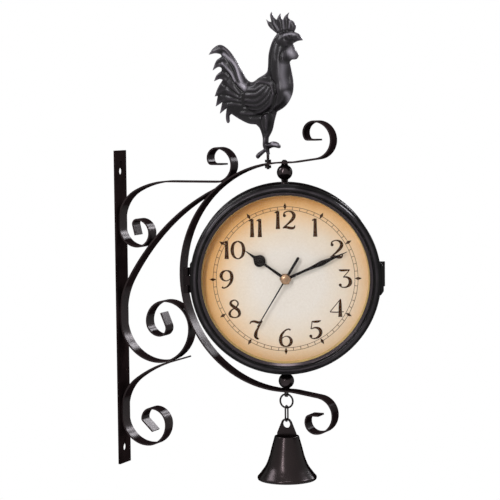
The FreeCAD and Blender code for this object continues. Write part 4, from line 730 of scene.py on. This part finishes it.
# Each digit's width, its strokes with their own widths and its end balls, as shares of its height
DIGIT_SHARES = {
    "0": (0.62, [[
        (0.31, 0.985, 0.05), (0.12, 0.84, 0.11), (0.05, 0.50, 0.15), (0.12, 0.16, 0.11),
        (0.31, 0.015, 0.05), (0.50, 0.16, 0.11), (0.57, 0.50, 0.15), (0.50, 0.84, 0.11),
        (0.31, 0.985, 0.05),
    ]], []),
    "1": (0.26, [
        [(0.15, 0.0, 0.19), (0.15, 0.25, 0.16), (0.15, 0.7, 0.14), (0.15, 1.0, 0.13)],
        [(0.0, 0.90, 0.03), (0.08, 0.935, 0.08), (0.16, 0.99, 0.06)],
    ], []),
    "2": (0.60, [
        [
            (0.07, 0.74, 0.07), (0.10, 0.90, 0.06), (0.28, 0.985, 0.05), (0.46, 0.91, 0.11),
            (0.53, 0.73, 0.15), (0.45, 0.52, 0.13), (0.24, 0.27, 0.08), (0.02, 0.05, 0.05),
        ],
        [
            (0.02, 0.05, 0.04), (0.16, 0.10, 0.10), (0.36, 0.055, 0.12), (0.51, 0.06, 0.10),
            (0.58, 0.20, 0.03),
        ],
    ], [(0.10, 0.74)]),
    "3": (0.58, [
        [(0.03, 1.0, 0.03), (0.10, 0.955, 0.09), (0.30, 0.955, 0.09), (0.52, 0.98, 0.04)],
        [(0.51, 0.98, 0.04), (0.36, 0.75, 0.04), (0.23, 0.585, 0.04)],
        [
            (0.22, 0.58, 0.04), (0.40, 0.57, 0.08), (0.53, 0.43, 0.14), (0.53, 0.20, 0.15),
            (0.37, 0.03, 0.07), (0.18, 0.02, 0.05), (0.06, 0.12, 0.06),
        ],
    ], [(0.09, 0.14)]),
    "4": (0.62, [
        [(0.47, 0.98, 0.04), (0.25, 0.66, 0.035), (0.0, 0.29, 0.04)],
        [(0.0, 0.28, 0.045), (0.30, 0.265, 0.05), (0.62, 0.29, 0.035)],
        [(0.47, 1.0, 0.06), (0.46, 0.7, 0.13), (0.46, 0.2, 0.15), (0.46, 0.0, 0.19)],
    ], []),
    "5": (0.58, [
        [(0.13, 0.95, 0.05), (0.28, 0.94, 0.10), (0.44, 0.96, 0.09), (0.54, 1.01, 0.03)],
        [(0.14, 0.96, 0.04), (0.12, 0.75, 0.04), (0.09, 0.55, 0.05)],
        [
            (0.09, 0.54, 0.04), (0.28, 0.61, 0.07), (0.46, 0.54, 0.13), (0.53, 0.34, 0.15),
            (0.45, 0.12, 0.12), (0.27, 0.01, 0.06), (0.12, 0.03, 0.05), (0.05, 0.12, 0.06),
        ],
    ], [(0.08, 0.14)]),
    "6": (0.60, [[
        (0.51, 0.92, 0.08), (0.42, 0.975, 0.06), (0.26, 0.89, 0.07), (0.10, 0.65, 0.12),
        (0.055, 0.35, 0.15), (0.12, 0.10, 0.11), (0.30, 0.01, 0.05), (0.47, 0.10, 0.11),
        (0.54, 0.30, 0.14), (0.47, 0.50, 0.09), (0.32, 0.58, 0.045), (0.18, 0.52, 0.04),
        (0.09, 0.40, 0.04),
    ]], []),
    "7": (0.58, [
        [
            (0.0, 0.84, 0.04), (0.05, 0.95, 0.07), (0.20, 0.98, 0.10), (0.38, 0.92, 0.11),
            (0.57, 1.0, 0.03),
        ],
        [
            (0.56, 0.98, 0.04), (0.43, 0.74, 0.06), (0.30, 0.45, 0.12), (0.25, 0.20, 0.16),
            (0.30, 0.05, 0.11), (0.40, 0.0, 0.05),
        ],
    ], []),
    "8": (0.58, [[
        (0.45, 0.85, 0.07), (0.30, 0.98, 0.05), (0.14, 0.90, 0.09), (0.12, 0.75, 0.12),
        (0.28, 0.58, 0.14), (0.46, 0.41, 0.14), (0.51, 0.20, 0.12), (0.42, 0.05, 0.07),
        (0.27, 0.01, 0.05), (0.11, 0.08, 0.09), (0.06, 0.23, 0.11), (0.14, 0.41, 0.07),
        (0.32, 0.56, 0.05), (0.43, 0.70, 0.07), (0.45, 0.85, 0.07),
    ]], []),
}
six_width, six_strokes, _ = DIGIT_SHARES["6"]
nine_strokes = [[(six_width - x, 1 - y, width) for x, y, width in stroke] for stroke in six_strokes]
DIGIT_SHARES["9"] = (six_width, nine_strokes, [])

# The print's inks, in the order of its materials
NUMBERS, TRACK = 0, 1


class Print:
    """Flat shapes lying on the dial, gathered into one mesh with two inks."""

    def __init__(self, level):
        self.level = level
        self.points, self.faces, self.inks = [], [], []

    def add(self, points, faces, which):
        start = len(self.points)
        self.points += [(x * MM, y * MM, self.level * MM) for x, y in points]
        self.faces += [tuple(start + index for index in face) for face in faces]
        self.inks += [which] * len(faces)

    def ribbon(self, line, which):
        """A stroke whose width follows the third value of its points."""
        middle, width = line[:, :2], np.abs(line[:, 2:])
        run = np.gradient(middle, axis=0)
        run /= np.maximum(np.linalg.norm(run, axis=1, keepdims=True), 1e-9)
        side = np.column_stack([-run[:, 1], run[:, 0]]) * width / 2
        points = np.vstack([middle + side, middle - side])
        count = len(middle)
        faces = [(i, i + count, i + 1 + count, i + 1) for i in range(count - 1)]
        self.add(points, faces, which)

    def disc(self, centre, radius, which):
        steps = 20
        angles = [2 * math.pi * step / steps for step in range(steps)]
        points = [(centre[0] + radius * math.cos(a), centre[1] + radius * math.sin(a)) for a in angles]
        self.add(points, [tuple(range(steps))], which)

    def ring(self, radius, width, which):
        steps = 240
        angles = [2 * math.pi * step / steps for step in range(steps)]
        radii = (radius + width / 2, radius - width / 2)
        points = [(r * math.cos(a), r * math.sin(a)) for r in radii for a in angles]
        faces = [(i, (i + 1) % steps, (i + 1) % steps + steps, i + steps) for i in range(steps)]
        self.add(points, faces, which)


def print_number(sheet, text, centre):
    """Upright figures with their middle on a point of the dial."""
    widths = [DIGIT_SHARES[letter][0] * SPREAD_SHARE for letter in text]
    total = sum(widths) + DIGIT_GAP_SHARE * (len(text) - 1)
    start = -total / 2
    for letter, width in zip(text, widths):
        _, strokes, balls = DIGIT_SHARES[letter]
        for stroke in strokes:
            line = smooth_line(stroke, 8)
            along = line[:, 0] * SPREAD_SHARE + start
            up = line[:, 1] - 0.5
            weight = line[:, 2] * WEIGHT_SHARE
            line = np.column_stack([along, up, weight]) * NUMBER_HEIGHT
            sheet.ribbon(line + np.array([centre[0], centre[1], 0]), NUMBERS)
        for x, y in balls:
            along = centre[0] + (x * SPREAD_SHARE + start) * NUMBER_HEIGHT
            up = centre[1] + (y - 0.5) * NUMBER_HEIGHT
            sheet.disc((along, up), BALL_SHARE * NUMBER_HEIGHT, NUMBERS)
        start += width + DIGIT_GAP_SHARE


def build_print(side):
    """Minute track, hour marks and numbers, a hair in front of the dial."""
    outer, inner, line, tick, hair = 76.0, 72.7, 0.5, 0.6, 0.06
    mark_offset, half, reach = 0.2, 1.7, 3.8
    middle = outer + mark_offset
    tick_corners = [(inner, tick / 2), (outer, tick / 2), (outer, -tick / 2), (inner, -tick / 2)]
    mark_corners = [(middle - reach, 0), (middle, half), (middle + reach, 0), (middle, -half)]
    sheet = Print(DIAL_FRONT + hair)
    for radius in (outer, inner):
        sheet.ring(radius, line, TRACK)
    for minute in range(60):
        angle = math.radians(90 - 6 * minute)
        out = np.array([math.cos(angle), math.sin(angle)])
        across = np.array([-out[1], out[0]])
        on_hour = minute % 5 == 0
        shape, which = (mark_corners, NUMBERS) if on_hour else (tick_corners, TRACK)
        sheet.add([out * far + across * aside for far, aside in shape], [(0, 1, 2, 3)], which)
        if on_hour:
            hour = minute // 5 or 12
            print_number(sheet, str(hour), out * NUMBER_RADIUS)
    mesh = mesh_of(side + "_dial_print", sheet.points, sheet.faces)
    inks = [number_ink, track_ink]
    new_piece(mesh.name, mesh, side + "_door", inks, place=face_matrix(side))
    mesh.polygons.foreach_set("material_index", sheet.inks)
    tidy = bmesh.new()
    tidy.from_mesh(mesh)
    for face in tidy.faces:
        if face.normal.z < 0:
            face.normal_flip()
    tidy.to_mesh(mesh)
    tidy.free()


def build_dial(side):
    """The card with its centre hole, paper in front and board behind."""
    hole, rim, thickness, rings = 3.75, 94.3, 1.0, 24
    back = DIAL_FRONT - thickness
    radii = [hole + (rim - hole) * step / rings for step in range(rings + 1)]
    profile = [(hole, back)] + [(radius, DIAL_FRONT) for radius in radii] + [(rim, back)]
    mesh = lathe(side + "_dial_card", profile[::-1], 96)
    body, replaced, place = side + "_door", [side + "_dial"], face_matrix(side)
    new_piece(mesh.name, mesh, body, [paper, grey_board], replaced, place, smooth=False)
    for face in mesh.polygons:
        face.material_index = 1 if face.normal.z < -0.5 else 0


# The bezel's turned section, from its outer back edge over the bead to the lip and the seats inside
BEZEL_PROFILE = [
    (95.6, 25.6), (99.3, 25.6), (99.8, 25.9), (100.0, 26.4), (100.0, 30.4), (99.8, 31.2),
    (99.3, 31.9), (98.8, 32.3), (98.1, 32.5), (97.6, 32.55), (97.3, 32.8), (97.0, 33.3),
    (96.4, 34.2), (95.7, 35.0), (94.9, 35.65), (94.1, 35.9), (93.2, 35.75), (92.5, 35.3),
    (92.0, 34.7), (91.7, 34.1), (91.5, 33.8), (91.2, 33.75), (90.9, 33.85), (90.6, 33.75),
    (90.3, 33.5), (89.3, 32.5), (88.3, 31.6), (88.05, 31.4), (88.0, 31.2), (93.3, 31.2),
    (93.3, 21.9), (94.3, 21.9), (94.3, 20.9), (95.6, 20.9),
]
LIP_RADIUS = 90.5


def build_bezel(side):
    """The door's ring with its latch tab, the lip in a glossier paint."""
    half, slope, back, front, root, stand, rounding = 18.0, 5.0, 18.3, 30.3, 98.9, 102.6, 0.9
    mesh = lathe(side + "_bezel_ring", BEZEL_PROFILE, 192)
    outline = [(root, -half), (stand, slope - half), (stand, half - slope), (root, half)]
    tab, _ = prism(outline, back, front)
    bmesh.ops.bevel(tab, geom=tab.edges[:], offset=rounding * MM, segments=3, profile=0.6, affect="EDGES")
    tab.from_mesh(mesh)
    tab.to_mesh(mesh)
    tab.free()
    body, replaced, place = side + "_door", [side + "_bezel"], face_matrix(side)
    piece = new_piece(mesh.name, mesh, body, [bezel_paint, lip_paint], replaced, place)
    for face in mesh.polygons:
        face.material_index = 1 if face.center.xy.length < LIP_RADIUS * MM else 0
    keep_edges(piece, 50)


# Hands: degrees past twelve, back, hub radius, then distance from the arbor and half width along them
HAND_SHAPES = {
    "hour": (305.7, 24.6, 4.6, [
        (0, 1.6), (24.5, 1.3), (27.0, 2.1), (28.4, 3.9), (30.4, 5.7), (33.3, 6.5), (36.2, 5.6),
        (38.2, 3.7), (39.8, 2.1), (42.0, 1.3), (51.5, 0.3),
    ]),
    "minute": (66.3, 25.7, 4.0, [
        (0, 1.6), (22.0, 1.4), (33.0, 1.9), (39.0, 2.6), (42.0, 2.75), (46.0, 2.3), (54.0, 1.4),
        (70.5, 0.25),
    ]),
}
SECOND_ANGLE, SECOND_BACK = 211, 26.8
SECOND_SHAPE = [(58.0, 0.50), (4.5, 0.78), (3.0, 1.45), (-25.5, 1.45), (-26.5, 1.1), (-27.0, 0.4)]


def stamped_hand(name, side, outline, back, angle, body, node):
    """A thin stamped hand whose front edges are a little rounded."""
    thickness, rounding = 0.5, 0.12
    plate, top = prism(outline, back, back + thickness)
    edges = list(top.edges)
    bmesh.ops.bevel(plate, geom=edges, offset=rounding * MM, segments=2, profile=0.5, affect="EDGES")
    mesh = bpy.data.meshes.new(name)
    plate.to_mesh(mesh)
    plate.free()
    place = face_matrix(side) @ Matrix.Rotation(math.radians(-angle), 4, "Z")
    piece = new_piece(name, mesh, body, hand_paint, [node], place)
    keep_edges(piece, 35)


def build_hand(side, kind):
    """Hour or minute hand, its round hub under the next hand."""
    hub_opening = 25
    angle, back, hub, shape = HAND_SHAPES[kind]
    line = smooth_line(shape, 5)
    right = [(half, along) for along, half in line if along > hub]
    angles = np.radians(np.linspace(hub_opening, 360 - hub_opening, 30))
    arc = [(hub * math.sin(a), hub * math.cos(a)) for a in angles]
    outline = right[::-1] + arc + [(-half, along) for half, along in right]
    body, node = f"{side}_{kind}_arbor", f"{side}_{kind}_hand"
    stamped_hand(f"{side}_{kind}_pointer", side, outline, back, angle, body, node)


def build_second_hand(side):
    """A needle with a broad tail, its middle under the cap."""
    right = [(half, along) for along, half in SECOND_SHAPE]
    outline = right + [(-half, along) for half, along in right[::-1]]
    body, node = f"{side}_seconds_arbor", f"{side}_second_hand"
    stamped_hand(f"{side}_second_pointer", side, outline, SECOND_BACK, SECOND_ANGLE, body, node)


def build_spacer(side):
    """Card ring that keeps the glass off the dial."""
    profile = [(87.0, 21.95), (93.1, 21.95), (93.1, 29.0), (88.7, 29.0), (87.8, 28.1), (87.5, 27.0)]
    mesh = lathe(side + "_spacer_ring", profile[::-1], 160)
    piece = new_piece(mesh.name, mesh, side + "_door", spacer_card, place=face_matrix(side))
    keep_edges(piece, 40)


def build_hand_cap(side):
    """Brass cap with a raised ring, pressed on the second hand."""
    profile = [
        (5.15, 26.6), (5.3, 27.0), (5.3, 27.5), (5.1, 27.9), (4.6, 28.2), (4.1, 28.25),
        (3.8, 28.1), (3.5, 28.2), (2.8, 28.55), (1.8, 28.75), (0.02, 28.8),
    ]
    mesh = lathe(side + "_hand_cap", profile, 48, closed=False)
    new_piece(mesh.name, mesh, side + "_seconds_arbor", brass, place=face_matrix(side))


# Bell and ball spacers, turned about the clock's upright middle line
def build_bell():
    """The bell's shell: rounded crown, flared wall and rolled lip."""
    top, height, crown, mouth, wall, hole = -170.15, 47, 13.3, 31.8, 1.5, 3.0
    inner_drop_share = 0.3
    flare_shares = [(0.0, 0.03), (0.17, 0.27), (0.31, 0.48), (0.51, 0.68), (0.77, 0.83), (0.96, 0.925)]
    crown_edge = [(11.6, 0), (12.6, 0.15), (13.1, 0.6)]
    lip = [
        (31.6, -214.0), (31.8, -214.8), (31.75, -215.8), (31.4, -216.7), (30.8, -217.15),
        (30.1, -217.1),
    ]
    head = [(hole, top)] + [(radius, top - down) for radius, down in crown_edge]
    flare = [(crown + out * (mouth - crown), top - down * height) for out, down in flare_shares]
    outer = [tuple(point) for point in smooth_line(flare, 8)]
    inner = [(radius - wall, z - wall * inner_drop_share) for radius, z in outer[::-1]]
    mesh = lathe("bell_shell", head + outer + lip + inner + [(hole, top - wall)], 128)
    place = Matrix.Translation(CLOCK)
    piece = new_piece("bell_shell", mesh, "bell_body", bell_paint, ["bell"], place)
    keep_edges(piece, 60)


def build_balls():
    """Turned ball with its collars, one above and one below the drum."""
    foot, top, radius, neck, bore, centre = 99.2, 120.6, 8.3, 3.4, 1.6, 111.1
    neck_length, chamfer, reach = 0.9, 0.1, 63
    collar = [(1.4, 0), (1.6, 0.5), (1.3, 1.2), (0, 2.0)]
    low = [(bore, foot)] + [(neck + out, foot + up) for out, up in collar]
    angles = np.radians(np.linspace(-reach, reach, 40))
    arc = [(radius * math.cos(a), centre + radius * math.sin(a)) for a in angles]
    high = [(neck, top - neck_length), (neck, top - chamfer), (bore, top)]
    profile = (low + arc + high)[::-1]
    for name, turn in (("upper_ball", 0), ("lower_ball", math.pi)):
        mesh = lathe(name, profile, 64)
        place = Matrix.Translation(CLOCK) @ Matrix.Rotation(turn, 4, "X")
        replaced = ["ball_spacers"] if name == "upper_ball" else ()
        piece = new_piece(name, mesh, "bracket", ball_paint, replaced, place)
        keep_edges(piece, 50)


build_rooster()
build_rooster_stud()
for side in SIDES:
    build_dial(side)
    build_print(side)
    build_bezel(side)
    build_second_hand(side)
    build_hand_cap(side)
    build_spacer(side)
    for kind in HAND_SHAPES:
        build_hand(side, kind)
build_bell()
build_balls()


# Floor, light and camera
def build_world():
    """White to the eye and in mirrors, a dim cool fill for what lights the object."""
    world = bpy.data.worlds.new("studio")
    bpy.context.scene.world = world
    world.use_nodes = True
    sky = NodeTree(world.node_tree)
    fill = sky.tree.nodes["Background"]
    sky.give(fill.inputs["Color"], (0.96, 0.97, 1.0, 1))
    sky.give(fill.inputs["Strength"], 0.28)
    white = sky.add("Background", {"Color": (1, 1, 1, 1), "Strength": 1.0}).outputs["Background"]
    parts = {0: sky.seen_rays(), 1: fill.outputs["Background"], 2: white}
    mix = sky.add("MixShader", parts).outputs["Shader"]
    sky.give(sky.tree.nodes["World Output"].inputs["Surface"], mix)


def build_floor():
    """Pale floor that shows the shadow near the object and runs out to white."""
    half, level, near, far = 3.0, -0.50, 0.5, 1.3
    corners = [(-half, -half, level), (half, -half, level), (half, half, level), (-half, half, level)]
    mesh = mesh_of("floor", corners, [(0, 1, 2, 3)])
    floor = bpy.data.objects.new("floor", mesh)
    bpy.context.scene.collection.objects.link(floor)
    shader = Shader("pale_floor")
    shader.set(Base_Color=(0.9, 0.9, 0.9, 1), Roughness=0.8)
    white = shader.add("Emission", {"Color": (1, 1, 1, 1), "Strength": 1.0}).outputs["Emission"]
    whiteness = shader.math("MULTIPLY", shader.share(shader.radius(), near, far), shader.seen_rays())
    parts = {0: whiteness, 1: shader.surface.outputs["BSDF"], 2: white}
    mix = shader.add("MixShader", parts).outputs["Shader"]
    shader.give(shader.tree.nodes["Material Output"].inputs["Surface"], mix)
    mesh.materials.append(shader.material)


# Lamps aimed at the clock: place, width and height in metres, power in watts, colour
LAMPS = {
    "key": ((0.10, -1.38, 0.80), 0.14, 1.20, 15.8, (0.99, 0.97, 1.0)),
    "back_box": ((0.30, 1.46, 0.72), 0.30, 0.20, 11, (0.97, 0.95, 1.0)),
    "back_side_box": ((0.66, 1.42, 0.53), 0.27, 0.22, 9, (0.97, 0.95, 1.0)),
    "left_box": ((-0.80, -0.42, 0.94), 0.40, 0.60, 11, (0.96, 0.94, 1.0)),
    "top_box": ((0.31, -0.24, 1.52), 0.40, 0.40, 6, (0.96, 0.94, 1.0)),
    "rim_box": ((1.02, 0.81, 1.13), 0.30, 0.30, 12, (0.95, 0.93, 1.0)),
}


def build_lamp(name, place, width, height, power, colour):
    lamp = bpy.data.lights.new(name, "AREA")
    lamp.shape = "RECTANGLE"
    lamp.size, lamp.size_y = width, height
    lamp.energy = power
    lamp.color = colour
    light = bpy.data.objects.new(name, lamp)
    light.location = place
    light.rotation_mode = "QUATERNION"
    light.rotation_quaternion = (CLOCK - Vector(place)).to_track_quat("-Z", "Y")
    bpy.context.scene.collection.objects.link(light)


def build_camera():
    """The photograph's view, for a square image."""
    azimuth, elevation, roll = math.radians(25.152), math.radians(-4.608), math.radians(0.57)
    eye = CLOCK + Vector((756.53, -1699.19, 179.0)) * MM
    sensor, focal_pixels, image_pixels = 36, 1760, 500
    level = math.cos(elevation)
    forward = Vector((-math.sin(azimuth) * level, math.cos(azimuth) * level, math.sin(elevation)))
    right = Vector((math.cos(azimuth), math.sin(azimuth), 0))
    up = right.cross(forward)
    turned_right = math.cos(roll) * right - math.sin(roll) * up
    turned_up = math.cos(roll) * up + math.sin(roll) * right
    turn = Matrix((turned_right, turned_up, -forward)).transposed().to_4x4()
    camera = bpy.data.objects.new("camera", bpy.data.cameras.new("camera"))
    camera.data.sensor_width = sensor
    camera.data.lens = sensor * focal_pixels / image_pixels
    camera.matrix_world = Matrix.Translation(eye) @ turn
    bpy.context.scene.collection.objects.link(camera)
    bpy.context.scene.camera = camera


build_world()
build_floor()
for name, settings in LAMPS.items():
    build_lamp(name, *settings)
build_camera()
bpy.context.scene.view_settings.view_transform = "Standard"

# Rounded edges of the CAD's own pieces, in millimetres
STRIP_EDGE, SMALL_EDGE = 0.35, 0.25
for name in ("wall_plate", "hoop", "upper_scroll", "support_scroll", "lower_scroll"):
    soften(nodes[name], STRIP_EDGE)
for name in ("case_hinge_leaves", "clamp_nuts", "pivot_nuts", "bell_eye"):
    soften(nodes[name], SMALL_EDGE)
for side in SIDES:
    for piece in ("hinge_leaf", "movement_case", "movement_cover"):
        soften(nodes[f"{side}_{piece}"], SMALL_EDGE)
